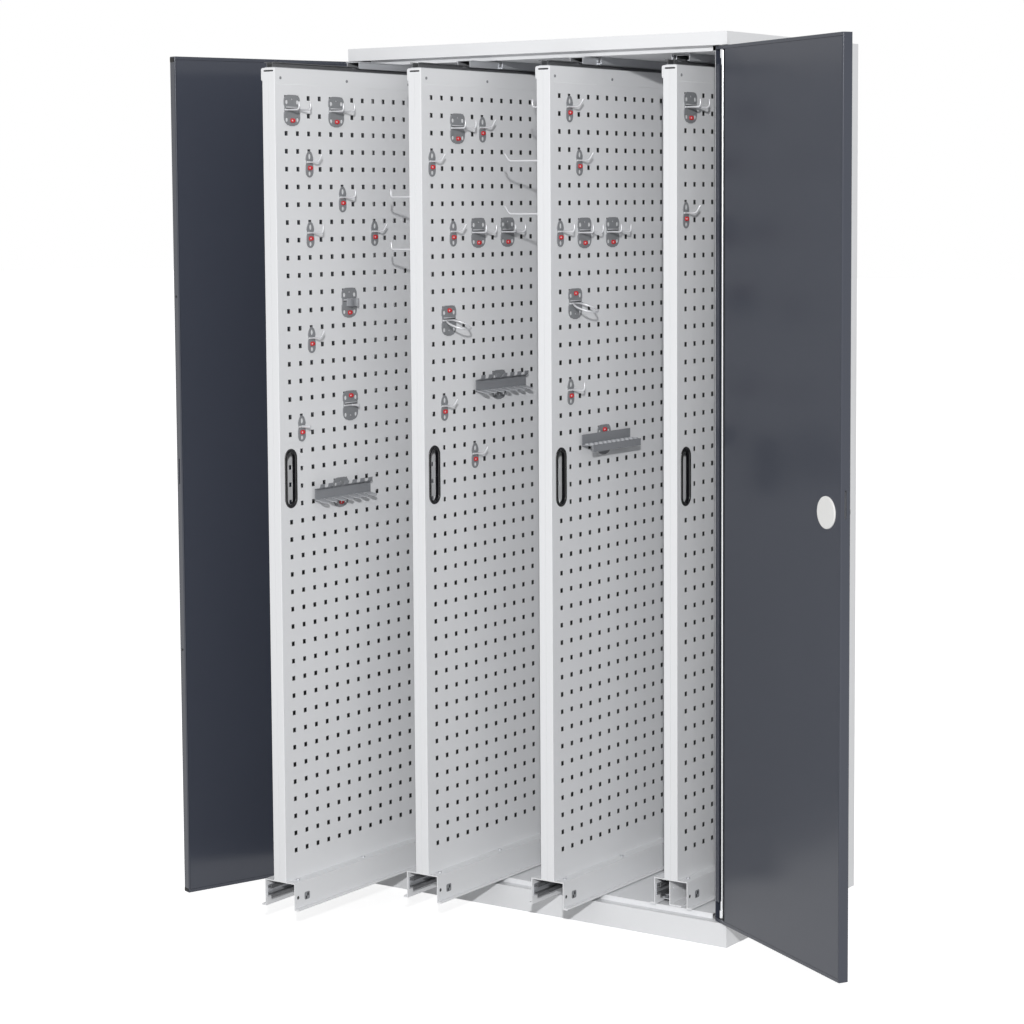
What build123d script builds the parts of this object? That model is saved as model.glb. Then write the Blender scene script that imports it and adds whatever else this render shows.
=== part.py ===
from build123d import *
import math
import os

os.makedirs("parts", exist_ok=True)

# ---------------------------------------------------------------- driving sizes, mm
# +X is right, +Y is back, +Z is up. Below, depths are measured back from the front face of the
# fascia; save() then moves every part so that the origin is the middle of the footprint.

# Cabinet
CABINET_WIDTH = 1000.0
CABINET_DEPTH = 600.0
CABINET_HEIGHT = 1950.0
SHEET = 1.5  # carcass sheet thickness
HALF_WIDTH = CABINET_WIDTH / 2
FASCIA_HEIGHT = 28.0
LEAF_THICKNESS = 22.0
FASCIA_RETURN = LEAF_THICKNESS + 2.0  # depth of the ledges above and below the doors
CEILING_DROP = 11.0  # ceiling below the fascia's underside
PLINTH_HEIGHT = 52.0
FLOOR_RISE = 11.0  # cabinet floor above the plinth's ledge
FASCIA_UNDERSIDE = CABINET_HEIGHT - FASCIA_HEIGHT
CEILING = FASCIA_UNDERSIDE - CEILING_DROP
FLOOR = PLINTH_HEIGHT + FLOOR_RISE
LIP_HALF_WIDTH = HALF_WIDTH - 48.0  # the lips stop short of the hinges
WALL_FLANGE_DEPTH = FASCIA_RETURN + 10.0  # side wall's front flange behind the fascia's front
REAR_FLANGE = 22.0
PLINTH_FOOT_FLANGE = 22.0
GUSSET_SIDE = 100.0
GUSSET_THICKNESS = 3.0
GUSSET_TOP = PLINTH_HEIGHT - 5.0
PLINTH_RAIL_TOP = PLINTH_HEIGHT - 4.0
FOOT_INSET = 60.0
FOOT_PAD_RADIUS = 22.0
FOOT_PAD_HEIGHT = 6.0
FOOT_STUD_RADIUS = 5.0
FOOT_STUD_TOP = FLOOR - 5.0
FOOT_NUT_RADIUS = 9.8
FOOT_NUT_HEIGHT = 8.0

# Doors: s runs from the hinge edge across the leaf, t from the outer face into the leaf
LEAF_WIDTH = HALF_WIDTH - 4.0
LEAF_BOTTOM = PLINTH_HEIGHT + 1.0
LEAF_TOP = FASCIA_UNDERSIDE - 2.0
LEAF_SHEET = 1.2
LEAF_CORNER = 2.5
HINGE_EDGE_GAP = 2.0
HINGE_LIP = 17.5
PANEL_START = 41.0  # the inner panel starts here, behind a slot that shows the rod
RIM_TOP = 7.0
RIM_FREE = 3.0
PANEL_GAP = 0.6
POCKET_TOP_HEIGHT = 31.0
POCKET_BOTTOM_HEIGHT = 36.0
PIVOT_S = 15.2
PIVOT_T = 12.3
ROD_RADIUS = 4.0
COLLAR_RADIUS = 6.0
COLLAR_LENGTH = 24.0
BUSH_CLEARANCE = 0.05
BUSH_RADIUS = 7.0
BUSH_FLANGE_RADIUS = 9.0
BUSH_DEPTH = 10.0
LEFT_DOOR_OPEN = 109.5  # degrees open as built
RIGHT_DOOR_OPEN = 149.5

# Lock
LOCK_S = LEAF_WIDTH - 52.0
LOCK_HEIGHT = 986.0
LOCK_COVER_RADIUS = 32.5
LOCK_COVER_THICKNESS = 3.0
LOCK_SLOT_BOTTOM = LOCK_HEIGHT - 8.0
LOCK_SLOT_TOP = LOCK_HEIGHT + 48.0
LOCK_SLOT_T = (9.5, 13.5)
LOCK_HOOK_REACH = 66.0
LOCK_HOOK_WIDTH = 14.0
LOCK_HOOK_THICKNESS = 2.5
SPINDLE_RADIUS = 5.0
SPINDLE_SQUARE = 6.9
HANDLE_HUB_RADIUS = 17.0
HANDLE_PROTRUSION = 22.0
HANDLE_GAP = 0.6
LEVER_REACH = 95.0
LEVER_WIDTH = 24.0
LEVER_THICKNESS = 12.0

# Pull-outs
SLIDE_DEPTH = 26.0  # of a telescopic slide, from its fixed back
OUTER_CENTRE = HALF_WIDTH - 146.5  # room for tools between the wall and the nearest pull-out
INNER_CENTRE = 130.7
PULLOUT_CENTRES = (-OUTER_CENTRE, -INNER_CENTRE, INNER_CENTRE, OUTER_CENTRE)
PULLOUT_THICKNESS = 34.0
PULLOUT_CLOSED_FRONT = LEAF_THICKNESS + 5.0
PULLOUT_REAR_GAP = 44.0  # to the cabinet's back when closed
PULLOUT_LENGTH = CABINET_DEPTH - PULLOUT_REAR_GAP - PULLOUT_CLOSED_FRONT
CHANNEL_TALL = 62.0  # from the floor to the pull-out's lower edge
PULLOUT_BOTTOM = FLOOR + CHANNEL_TALL
PULLOUT_TOP = CEILING - SLIDE_DEPTH
PULLOUT_EXTENSIONS = (489.3, 269.3, 164.2, 14.3)  # how far each is pulled out as built
FACE_SHEET = 1.5
POST_DEPTH = 12.0
TOP_RAIL = 34.0
BOTTOM_RAIL = 35.0
FOLD_SEAM = 0.3
BEND_RADIUS = 1.5

# Perforation: square holes on a square grid
HOLE = 10.0
HOLE_PITCH = 38.0
FIRST_COLUMN = 36.5
ROW_MARGIN = 62.0  # first row below the top edge, and least margin at the bottom
FIRST_ROW = PULLOUT_TOP - ROW_MARGIN
COLUMN_COUNT = int((PULLOUT_LENGTH - 2 * FIRST_COLUMN) / HOLE_PITCH + 1e-6) + 1
ROW_COUNT = int((FIRST_ROW - PULLOUT_BOTTOM - ROW_MARGIN) / HOLE_PITCH + 1e-6) + 1

# Grip
GRIP_ROWS = range(20, 24)  # rows of the first column that the grip takes
GRIP_HEIGHT_CENTRE = FIRST_ROW - (GRIP_ROWS[0] + GRIP_ROWS[-1]) / 2 * HOLE_PITCH
GRIP_CUTOUT = (33.0, 122.0)
GRIP_RIM = 4.0  # how far the trim covers the sheet around its cutout
GRIP_TRIM = (GRIP_CUTOUT[0] + 2 * GRIP_RIM, GRIP_CUTOUT[1] + 2 * GRIP_RIM)
GRIP_OPENING = (GRIP_CUTOUT[0] - 6.0, GRIP_CUTOUT[1] - 8.0)
GRIP_RAISE = 2.5
GRIP_SLEEVE_DEPTH = 7.0
GRIP_CLEARANCE = 0.2

# Channel under each pull-out
CHANNEL_HALF_WIDTH = 42.0
CHANNEL_SHEET = 2.0
CHANNEL_FLANGE = 10.0
CHANNEL_BOTTOM = FLOOR + 2.0
CHANNEL_HEM = 4.0

# Telescopic slides: u runs across the slide from its fixed back, v along its width
SLIDE_HALF_WIDTH = 22.75
SLIDE_GAUGE = 1.6
SLIDE_REAR_GAP = 13.0
TOP_OUTER_FRONT = PULLOUT_CLOSED_FRONT + 30.0
BOTTOM_OUTER_FRONT = PULLOUT_CLOSED_FRONT + 6.0
TOP_MID_FRONT = TOP_OUTER_FRONT + 18.0  # closed
BOTTOM_MID_FRONT = BOTTOM_OUTER_FRONT + 18.0
INNER_SETBACK = 5.0
SLIDE_OUTER_LENGTH = CABINET_DEPTH - SLIDE_REAR_GAP - TOP_OUTER_FRONT
SLIDE_MID_LENGTH = SLIDE_OUTER_LENGTH - 20.0
SLIDE_INNER_LENGTH = PULLOUT_LENGTH - 2 * INNER_SETBACK
BOTTOM_SLIDE_X = -14.0  # fixed back of the bottom slide from the pull-out's middle
BOTTOM_SLIDE_HEIGHT = PULLOUT_BOTTOM - 28.0
BRACKET_TOP = PULLOUT_BOTTOM - 8.0
BRACKET_FRONT = PULLOUT_CLOSED_FRONT + 3.0
BRACKET_LENGTH = CABINET_DEPTH - 15.0 - BRACKET_FRONT
BRACKET_SHEET = 2.0
BRACKET_FOOT = 30.0

# Hooks
WIDE_PLATE = (53.0, 64.0)
NARROW_PLATE = (25.0, 56.0)
PLATE_THICKNESS = 2.0
WIDE_DROP = 26.6  # plate's middle below its upper row of holes
NARROW_DROP = 25.0
WIDE_WIRE_DROP = 26.0
NARROW_WIRE_DROP = 22.8
CLAW = 8.0
CLAW_DEPTH = 4.5
WIRE_RADIUS = 2.0
WIRE_BEND = 5.0
UPTURN = 16.6
LOCK_BLOCK = (12.0, 9.0, 4.0)


# ---------------------------------------------------------------- helpers
def block(x0, x1, y0, y1, z0, z1):
    """A box between two corners."""
    low = (min(x0, x1), min(y0, y1), min(z0, z1))
    size = (abs(x1 - x0), abs(y1 - y0), abs(z1 - z0))
    return Pos(*low) * Box(*size, align=(Align.MIN, Align.MIN, Align.MIN))


def upright_cylinder(x, y, z0, z1, radius):
    """A cylinder along Z."""
    return Pos(x, y, z0) * Cylinder(radius, z1 - z0, align=(Align.CENTER, Align.CENTER, Align.MIN))


def cross_cylinder(x0, x1, y, z, radius):
    """A cylinder along X."""
    middle = ((x0 + x1) / 2, y, z)
    return Pos(*middle) * Rot(0, 90, 0) * Cylinder(radius, abs(x1 - x0))


def depth_cylinder(x, y0, y1, z, radius):
    """A cylinder along Y."""
    return Pos(x, (y0 + y1) / 2, z) * Rot(90, 0, 0) * Cylinder(radius, abs(y1 - y0))


def prism_along_y(points, y0, length):
    """A solid with the given outline in X and Z, drawn back from y0."""
    outline = Wire.make_polygon([(x, y0, z) for x, z in points])
    return Solid.extrude(Face(outline), Vector(0, length, 0))


def prism_along_x(points, x0, length):
    """A solid with the given outline in Y and Z, drawn along X from x0."""
    outline = Wire.make_polygon([(x0, y, z) for y, z in points])
    return Solid.extrude(Face(outline), Vector(length, 0, 0))


def save(name, shape):
    """Writes one sub-part, moved so that the origin is the middle of the footprint."""
    moved = Pos(0, -CABINET_DEPTH / 2, 0) * shape
    export_step(moved, f"parts/{name}.step", write_pcurves=False)


# ---------------------------------------------------------------- carcass
def top_panel():
    """A tray upside down, with a deep front ledge and a lip that hangs below it."""
    bottom, top = FASCIA_UNDERSIDE, CABINET_HEIGHT
    outer = block(-HALF_WIDTH, HALF_WIDTH, 0, CABINET_DEPTH, bottom, top)
    inner = block(
        -HALF_WIDTH + SHEET, HALF_WIDTH - SHEET, SHEET, CABINET_DEPTH - SHEET, bottom - 1, top - SHEET
    )
    ledge = block(
        -HALF_WIDTH + SHEET, HALF_WIDTH - SHEET, SHEET, FASCIA_RETURN + SHEET, bottom, bottom + SHEET
    )
    lip = block(
        -LIP_HALF_WIDTH, LIP_HALF_WIDTH, FASCIA_RETURN, FASCIA_RETURN + SHEET, CEILING, bottom + SHEET
    )
    shape = outer - inner + ledge + lip
    for side in (-1, 1):
        x = side * (HALF_WIDTH - HINGE_EDGE_GAP - PIVOT_S)
        shape -= upright_cylinder(x, PIVOT_T, bottom - 1, bottom + SHEET + 1, BUSH_RADIUS + 0.15)
    return shape


def notched_sheet(bottom):
    """A level sheet from lip to back, cut away in front where the doors' hinge edges swing."""
    half = HALF_WIDTH - SHEET
    front, back = FASCIA_RETURN + SHEET, CABINET_DEPTH - SHEET
    shape = block(-LIP_HALF_WIDTH, LIP_HALF_WIDTH, front, back, bottom, bottom + SHEET)
    return shape + block(-half, half, WALL_FLANGE_DEPTH, back, bottom, bottom + SHEET)


def ceiling_panel():
    """The sheet that the upper slides are fixed to, with side flanges turned up."""
    half = HALF_WIDTH - SHEET
    back = CABINET_DEPTH - SHEET
    shape = notched_sheet(CEILING)
    for side in (-1, 1):
        shape += block(side * (half - SHEET), side * half, 60, back, CEILING, CEILING + 18)
    return shape


def floor_panel():
    """The cabinet floor, with side flanges turned down."""
    half = HALF_WIDTH - SHEET
    back = CABINET_DEPTH - SHEET
    shape = notched_sheet(FLOOR - SHEET)
    for side in (-1, 1):
        shape += block(side * (half - SHEET), side * half, 60, back, FLOOR - 13, FLOOR)
    return shape


def plinth_frame():
    """The skirt, ledge and riser in front, rails round the foot and a gusset in each corner."""
    back = CABINET_DEPTH - SHEET
    inner_half = HALF_WIDTH - SHEET
    shape = block(-HALF_WIDTH, HALF_WIDTH, 0, SHEET, 0, PLINTH_HEIGHT)
    shape += block(
        -HALF_WIDTH, HALF_WIDTH, 0, FASCIA_RETURN - 0.2, PLINTH_HEIGHT - SHEET, PLINTH_HEIGHT
    )
    shape += block(
        -inner_half, inner_half, 0, FASCIA_RETURN + SHEET, PLINTH_HEIGHT - SHEET, PLINTH_HEIGHT
    )
    shape += block(
        -LIP_HALF_WIDTH, LIP_HALF_WIDTH, FASCIA_RETURN, FASCIA_RETURN + SHEET, PLINTH_HEIGHT - SHEET, FLOOR
    )
    for side in (-1, 1):
        shape += block(side * inner_half, side * HALF_WIDTH, 0, FASCIA_RETURN - 0.2, 0, PLINTH_HEIGHT)
        shape += block(side * (inner_half - SHEET), side * inner_half, 0, back, 0, PLINTH_RAIL_TOP)
    shape += block(-inner_half, inner_half, back - SHEET, back, 0, PLINTH_RAIL_TOP)
    ring = block(-inner_half, inner_half, 0, back, 0, SHEET)
    ring -= block(
        -inner_half + PLINTH_FOOT_FLANGE,
        inner_half - PLINTH_FOOT_FLANGE,
        PLINTH_FOOT_FLANGE,
        back - PLINTH_FOOT_FLANGE,
        -1,
        SHEET + 1,
    )
    shape += ring
    for x, y in foot_positions():
        sign_x, sign_y = math.copysign(1, x), math.copysign(1, y - CABINET_DEPTH / 2)
        corner_y = SHEET if sign_y < 0 else back - SHEET
        corner_x = sign_x * (inner_half - SHEET)
        gusset = block(
            corner_x,
            corner_x - sign_x * GUSSET_SIDE,
            corner_y,
            corner_y - sign_y * GUSSET_SIDE,
            GUSSET_TOP - GUSSET_THICKNESS,
            GUSSET_TOP,
        )
        gusset -= upright_cylinder(x, y, GUSSET_TOP - 10, GUSSET_TOP + 1, FOOT_STUD_RADIUS + 0.4)
        shape += gusset
        x_bush = sign_x * (HALF_WIDTH - HINGE_EDGE_GAP - PIVOT_S)
        if sign_y < 0:
            shape -= upright_cylinder(
                x_bush, PIVOT_T, PLINTH_HEIGHT - BUSH_DEPTH - 4, PLINTH_HEIGHT + 1, BUSH_RADIUS + 0.15
            )
            shape -= upright_cylinder(
                x_bush, PIVOT_T, GUSSET_TOP - 10, PLINTH_HEIGHT - SHEET, BUSH_FLANGE_RADIUS + 0.6
            )
    return shape


def foot_positions():
    """The four levelling feet."""
    x = HALF_WIDTH - FOOT_INSET
    return [(sx * x, y) for sx in (-1, 1) for y in (FOOT_INSET, CABINET_DEPTH - FOOT_INSET)]


def levelling_feet():
    """A pad, a stud and a nut as one piece at each corner, inside the plinth."""
    nut_top = GUSSET_TOP - GUSSET_THICKNESS
    feet = []
    for x, y in foot_positions():
        foot = upright_cylinder(x, y, 0, FOOT_PAD_HEIGHT, FOOT_PAD_RADIUS)
        foot += upright_cylinder(x, y, 0, FOOT_STUD_TOP, FOOT_STUD_RADIUS)
        hexagon = Pos(x, y, nut_top - FOOT_NUT_HEIGHT) * extrude(
            RegularPolygon(FOOT_NUT_RADIUS, 6), FOOT_NUT_HEIGHT
        )
        feet.append(foot + hexagon)
    return Compound(feet)


def side_wall(side):
    """A wall with a front flange that carries the ceiling and floor, and a rear flange."""
    inner = HALF_WIDTH - SHEET
    back = CABINET_DEPTH - SHEET
    low, high = FLOOR, CEILING
    shape = block(side * inner, side * HALF_WIDTH, FASCIA_RETURN, back, 0, FASCIA_UNDERSIDE)
    front = WALL_FLANGE_DEPTH
    shape += block(side * LIP_HALF_WIDTH, side * inner, front, front + SHEET, low, high)
    shape += block(
        side * LIP_HALF_WIDTH, side * (LIP_HALF_WIDTH + SHEET), front, front + 20, low, high
    )
    shape += block(side * (inner - REAR_FLANGE), side * inner, back - SHEET, back, low, high)
    return shape


def back_panel():
    """The sheet that closes the back."""
    return block(-HALF_WIDTH, HALF_WIDTH, CABINET_DEPTH - SHEET, CABINET_DEPTH, 0, FASCIA_UNDERSIDE)


def floor_brackets():
    """Angle brackets that hold the bottom slides, one inside each channel."""
    brackets = []
    for centre in PULLOUT_CENTRES:
        x = centre + BOTTOM_SLIDE_X
        y0, y1 = BRACKET_FRONT, BRACKET_FRONT + BRACKET_LENGTH
        upright = block(x, x + BRACKET_SHEET, y0, y1, FLOOR, BRACKET_TOP)
        foot = block(x, x + BRACKET_FOOT, y0, y1, FLOOR, FLOOR + BRACKET_SHEET)
        shape = upright + foot
        shape -= cross_cylinder(x - 5, x + 5, y0 + 14, FLOOR + 36, 3.2)
        brackets.append(shape)
    return Compound(brackets)


# ---------------------------------------------------------------- telescopic slides
def outer_profile():
    """The fixed member: a channel whose edges are turned in over the middle member."""
    w, g, depth, lip = SLIDE_HALF_WIDTH, SLIDE_GAUGE, 16.0, 17.6
    half = [(depth, -w), (depth, -lip), (depth - g, -lip), (depth - g, -w + g), (g, -w + g)]
    mirrored = [(u, -v) for u, v in reversed(half)]
    return [(0, -w)] + half + mirrored + [(0, w)]


def mid_profile():
    """The middle member, caught behind the fixed member's edges."""
    g, top, foot = SLIDE_GAUGE, 2.4, 17.6
    half = [(top, -20.4), (top + g, -20.4), (top + g, -17.0), (foot, -17.0), (foot, -9.0)]
    half += [(foot - g, -9.0), (foot - g, -15.4), (top + g, -15.4)]
    mirrored = [(u, -v) for u, v in reversed(half)]
    return half + mirrored


def inner_profile():
    """The moving member, whose feet are caught behind the middle member's edges."""
    g, base, foot, wide = SLIDE_GAUGE, 13.0, 13.8, 14.8
    half = [(SLIDE_DEPTH, -base), (SLIDE_DEPTH - g, -base), (SLIDE_DEPTH - g, -8.4), (foot + g, -8.4)]
    half += [(foot + g, -wide), (foot, -wide), (foot, -6.8), (SLIDE_DEPTH - g, -6.8)]
    mirrored = [(u, -v) for u, v in reversed(half)]
    return half + mirrored


def top_slide(profile, centre, front, length):
    """A member of an upper slide, which lies flat under the ceiling."""
    return prism_along_y([(centre + v, CEILING - u) for u, v in profile], front, length)


def bottom_slide(profile, centre, front, length):
    """A member of a lower slide, which stands on edge against its bracket."""
    x = centre + BOTTOM_SLIDE_X
    return prism_along_y([(x - u, BOTTOM_SLIDE_HEIGHT + v) for u, v in profile], front, length)


def top_outer_slides():
    """The fixed members of the upper slides."""
    return Compound(
        [
            top_slide(outer_profile(), centre, TOP_OUTER_FRONT, SLIDE_OUTER_LENGTH)
            for centre in PULLOUT_CENTRES
        ]
    )


def bottom_outer_slides():
    """The fixed members of the lower slides."""
    return Compound(
        [
            bottom_slide(outer_profile(), centre, BOTTOM_OUTER_FRONT, SLIDE_OUTER_LENGTH)
            for centre in PULLOUT_CENTRES
        ]
    )


def mid_slides(centre, extension):
    """The two middle members of one pull-out, which move half as far as it does."""
    travel = extension / 2
    upper = top_slide(mid_profile(), centre, TOP_MID_FRONT - travel, SLIDE_MID_LENGTH)
    lower = bottom_slide(mid_profile(), centre, BOTTOM_MID_FRONT - travel, SLIDE_MID_LENGTH)
    return Compound([upper, lower])


def runners(centre, front):
    """The two moving members fixed to one pull-out."""
    start = front + INNER_SETBACK
    upper = top_slide(inner_profile(), centre, start, SLIDE_INNER_LENGTH)
    lower = bottom_slide(inner_profile(), centre, start, SLIDE_INNER_LENGTH)
    return Compound([upper, lower])


# ---------------------------------------------------------------- doors
def leaf_box(side, s0, s1, t0, t1, z0, z1):
    """A box in a closed leaf's own sizes: s from the hinge edge, t from the outer face."""
    edge = HALF_WIDTH - HINGE_EDGE_GAP
    return block(side * (edge - s0), side * (edge - s1), t0, t1, z0, z1)


def opened(side, shape):
    """Turns a closed leaf's piece about the hinge to where the door is left open."""
    x = side * (HALF_WIDTH - HINGE_EDGE_GAP - PIVOT_S)
    angle = RIGHT_DOOR_OPEN if side > 0 else -LEFT_DOOR_OPEN
    return Pos(x, PIVOT_T, 0) * Rot(0, 0, angle) * Pos(-x, -PIVOT_T, 0) * shape


def rounded_leaf(side, inset):
    """The leaf's outline shrunk by inset on every side, with rounded upright corners."""
    edge = side * (HALF_WIDTH - HINGE_EDGE_GAP - LEAF_WIDTH / 2)
    outline = RectangleRounded(
        LEAF_WIDTH - 2 * inset, LEAF_THICKNESS - 2 * inset, LEAF_CORNER - inset
    )
    height = LEAF_TOP - LEAF_BOTTOM - 2 * inset
    return Pos(edge, LEAF_THICKNESS / 2, LEAF_BOTTOM + inset) * extrude(outline, height)


def door_shell(side):
    """The outer pan of a leaf: skin, four edges, and rims turned over the inner face."""
    shape = rounded_leaf(side, 0) - rounded_leaf(side, LEAF_SHEET)
    inner_t = (LEAF_THICKNESS - LEAF_SHEET - 0.5, LEAF_THICKNESS + 1)
    low, high = LEAF_BOTTOM + RIM_TOP, LEAF_TOP - RIM_TOP
    shape -= leaf_box(side, HINGE_LIP, LEAF_WIDTH - RIM_FREE, *inner_t, low, high)
    pocket_top = LEAF_TOP - RIM_TOP - POCKET_TOP_HEIGHT
    pocket_bottom = LEAF_BOTTOM + RIM_TOP + POCKET_BOTTOM_HEIGHT
    shape -= leaf_box(side, 3.0, HINGE_LIP + 1, *inner_t, pocket_top, high)
    shape -= leaf_box(side, 3.0, HINGE_LIP + 1, *inner_t, low, pocket_bottom)
    x = side * (HALF_WIDTH - HINGE_EDGE_GAP - PIVOT_S)
    for z in (LEAF_BOTTOM, LEAF_TOP):
        shape -= upright_cylinder(x, PIVOT_T, z - 3, z + 3, ROD_RADIUS + 0.4)
    slot = leaf_box(
        side, LEAF_WIDTH - 3, LEAF_WIDTH + 1, *LOCK_SLOT_T, LOCK_SLOT_BOTTOM, LOCK_SLOT_TOP
    )
    shape -= slot
    if side > 0:
        x_lock = HALF_WIDTH - HINGE_EDGE_GAP - LOCK_S
        shape -= depth_cylinder(x_lock, -1, 3, LOCK_HEIGHT, SPINDLE_RADIUS + BUSH_CLEARANCE)
    return shape


def door_inner_panel(side):
    """The pan that closes the inner face; its hinge-side flange is welded to the skin."""
    t1 = LEAF_THICKNESS
    t0 = t1 - LEAF_SHEET
    s0, s1 = PANEL_START, LEAF_WIDTH - RIM_FREE - PANEL_GAP
    low, high = LEAF_BOTTOM + RIM_TOP + PANEL_GAP, LEAF_TOP - RIM_TOP - PANEL_GAP
    shape = leaf_box(side, s0, s1, t0, t1, low, high)
    shape += leaf_box(side, s0, s0 + LEAF_SHEET, LEAF_SHEET, t1, low, high)
    depth = t1 - 10
    shape += leaf_box(side, s0, s1, depth, t1, low, low + LEAF_SHEET)
    shape += leaf_box(side, s0, s1, depth, t1, high - LEAF_SHEET, high)
    return shape


def hinge_rod(side):
    """A full-height rod with a collar against each end of the leaf; it turns with the door."""
    x = side * (HALF_WIDTH - HINGE_EDGE_GAP - PIVOT_S)
    low = PLINTH_HEIGHT - BUSH_DEPTH + 0.3
    high = FASCIA_UNDERSIDE + BUSH_DEPTH - 2
    shape = upright_cylinder(x, PIVOT_T, low, high, ROD_RADIUS)
    bottom, top = LEAF_BOTTOM + LEAF_SHEET, LEAF_TOP - LEAF_SHEET
    shape += upright_cylinder(x, PIVOT_T, bottom, bottom + COLLAR_LENGTH, COLLAR_RADIUS)
    shape += upright_cylinder(x, PIVOT_T, top - COLLAR_LENGTH, top, COLLAR_RADIUS)
    return shape


def hinge_bushes():
    """Flanged bushes that the rods turn in, two above and two below the doors."""
    bore = ROD_RADIUS + BUSH_CLEARANCE
    bushes = []
    for side in (-1, 1):
        x = side * (HALF_WIDTH - HINGE_EDGE_GAP - PIVOT_S)
        ledge = FASCIA_UNDERSIDE
        upper = upright_cylinder(x, PIVOT_T, ledge, ledge + BUSH_DEPTH, BUSH_RADIUS)
        upper += upright_cylinder(x, PIVOT_T, ledge - 1, ledge, BUSH_FLANGE_RADIUS)
        upper -= upright_cylinder(x, PIVOT_T, ledge - 2, ledge + BUSH_DEPTH - 1.5, bore)
        ledge = PLINTH_HEIGHT
        lower = upright_cylinder(x, PIVOT_T, ledge - BUSH_DEPTH - 2, ledge, BUSH_RADIUS)
        lower += upright_cylinder(x, PIVOT_T, ledge - SHEET - 1.5, ledge - SHEET, BUSH_FLANGE_RADIUS)
        lower -= upright_cylinder(x, PIVOT_T, ledge - BUSH_DEPTH, ledge + 1, bore)
        bushes += [upper, lower]
    return Compound(bushes)


def left_door_buffers():
    """Rubber pieces on the left door's free edge: a cap, a foot and two dots."""
    side, s0, s1 = -1, LEAF_WIDTH, LEAF_WIDTH + 1.0
    pieces = [
        leaf_box(side, s0, s1, 3, 19, LEAF_TOP - 12, LEAF_TOP - 2),
        leaf_box(side, s0, s1, 3, 19, LEAF_BOTTOM + 2, LEAF_BOTTOM + 8),
    ]
    for z in (1394, 605):
        x = side * (HALF_WIDTH - HINGE_EDGE_GAP - s0)
        pieces.append(cross_cylinder(x, x + 0.8, LEAF_THICKNESS / 2, z, 2.5))
    return Compound(pieces)


# ---------------------------------------------------------------- lock
def lock_x():
    """The lock's axis when the right door is closed."""
    return HALF_WIDTH - HINGE_EDGE_GAP - LOCK_S


def lock_case():
    """A thin case against the leaf's free edge, open where the hook swings out."""
    wall = 1.5
    s0, s1, t0, t1 = LOCK_S - 24, LEAF_WIDTH - LEAF_SHEET, 4.4, 18.4
    z0, z1 = LOCK_HEIGHT - 34, LOCK_HEIGHT + 78
    shape = leaf_box(1, s0, s1, t0, t1, z0, z1)
    shape -= leaf_box(1, s0 + wall, s1 - wall, t0 + wall, t1 - wall, z0 + wall, z1 - wall)
    shape -= leaf_box(1, s1 - wall - 1, s1 + 1, *LOCK_SLOT_T, LOCK_SLOT_BOTTOM, LOCK_SLOT_TOP)
    shape -= depth_cylinder(lock_x(), t0 - 1, t1 + 1, LOCK_HEIGHT, SPINDLE_RADIUS + BUSH_CLEARANCE)
    return shape


def lock_handle():
    """A hub with a lever, and a spindle that is square where the hook sits on it."""
    x, z = lock_x(), LOCK_HEIGHT
    outer = -HANDLE_PROTRUSION
    hub = depth_cylinder(x, outer, -HANDLE_GAP, z, HANDLE_HUB_RADIUS)
    tip = x + LEVER_REACH
    lever = block(x, tip - LEVER_WIDTH / 2, outer, outer + LEVER_THICKNESS, z - LEVER_WIDTH / 2,
                  z + LEVER_WIDTH / 2)
    lever += depth_cylinder(tip - LEVER_WIDTH / 2, outer, outer + LEVER_THICKNESS, z, LEVER_WIDTH / 2)
    middle = sum(LOCK_SLOT_T) / 2
    half = LOCK_HOOK_THICKNESS / 2
    spindle = depth_cylinder(x, -HANDLE_GAP, middle - half, z, SPINDLE_RADIUS)
    spindle += depth_cylinder(x, middle + half, 18.0, z, SPINDLE_RADIUS - 0.2)
    square = SPINDLE_SQUARE / 2
    spindle += block(x - square, x + square, middle - half, middle + half, z - square, z + square)
    return hub + lever + spindle


def lock_hook():
    """A flat hook keyed to the spindle; it points up inside the case when the lock is open."""
    x, z = lock_x(), LOCK_HEIGHT
    middle = sum(LOCK_SLOT_T) / 2
    y0, y1 = middle - LOCK_HOOK_THICKNESS / 2, middle + LOCK_HOOK_THICKNESS / 2
    half = LOCK_HOOK_WIDTH / 2
    shape = depth_cylinder(x, y0, y1, z, 12.0)
    shape += block(x - half, x + half, y0, y1, z, z + LOCK_HOOK_REACH - half)
    shape += depth_cylinder(x, y0, y1, z + LOCK_HOOK_REACH - half, half)
    notch_top = z + LOCK_HOOK_REACH - 8
    shape -= block(x + 0.5, x + half + 1, y0 - 1, y1 + 1, notch_top - 9, notch_top)
    square = SPINDLE_SQUARE / 2
    shape -= block(x - square, x + square, y0 - 1, y1 + 1, z - square, z + square)
    return shape


def lock_cover():
    """A round cover on the inner face, over the end of the spindle."""
    y0 = LEAF_THICKNESS
    y1 = y0 + LOCK_COVER_THICKNESS
    disc = depth_cylinder(lock_x(), y0, y1, LOCK_HEIGHT, LOCK_COVER_RADIUS)
    rim = disc.edges().filter_by(GeomType.CIRCLE).sort_by(Axis.Y)[-1]
    return fillet(rim, 1.2)


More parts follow.
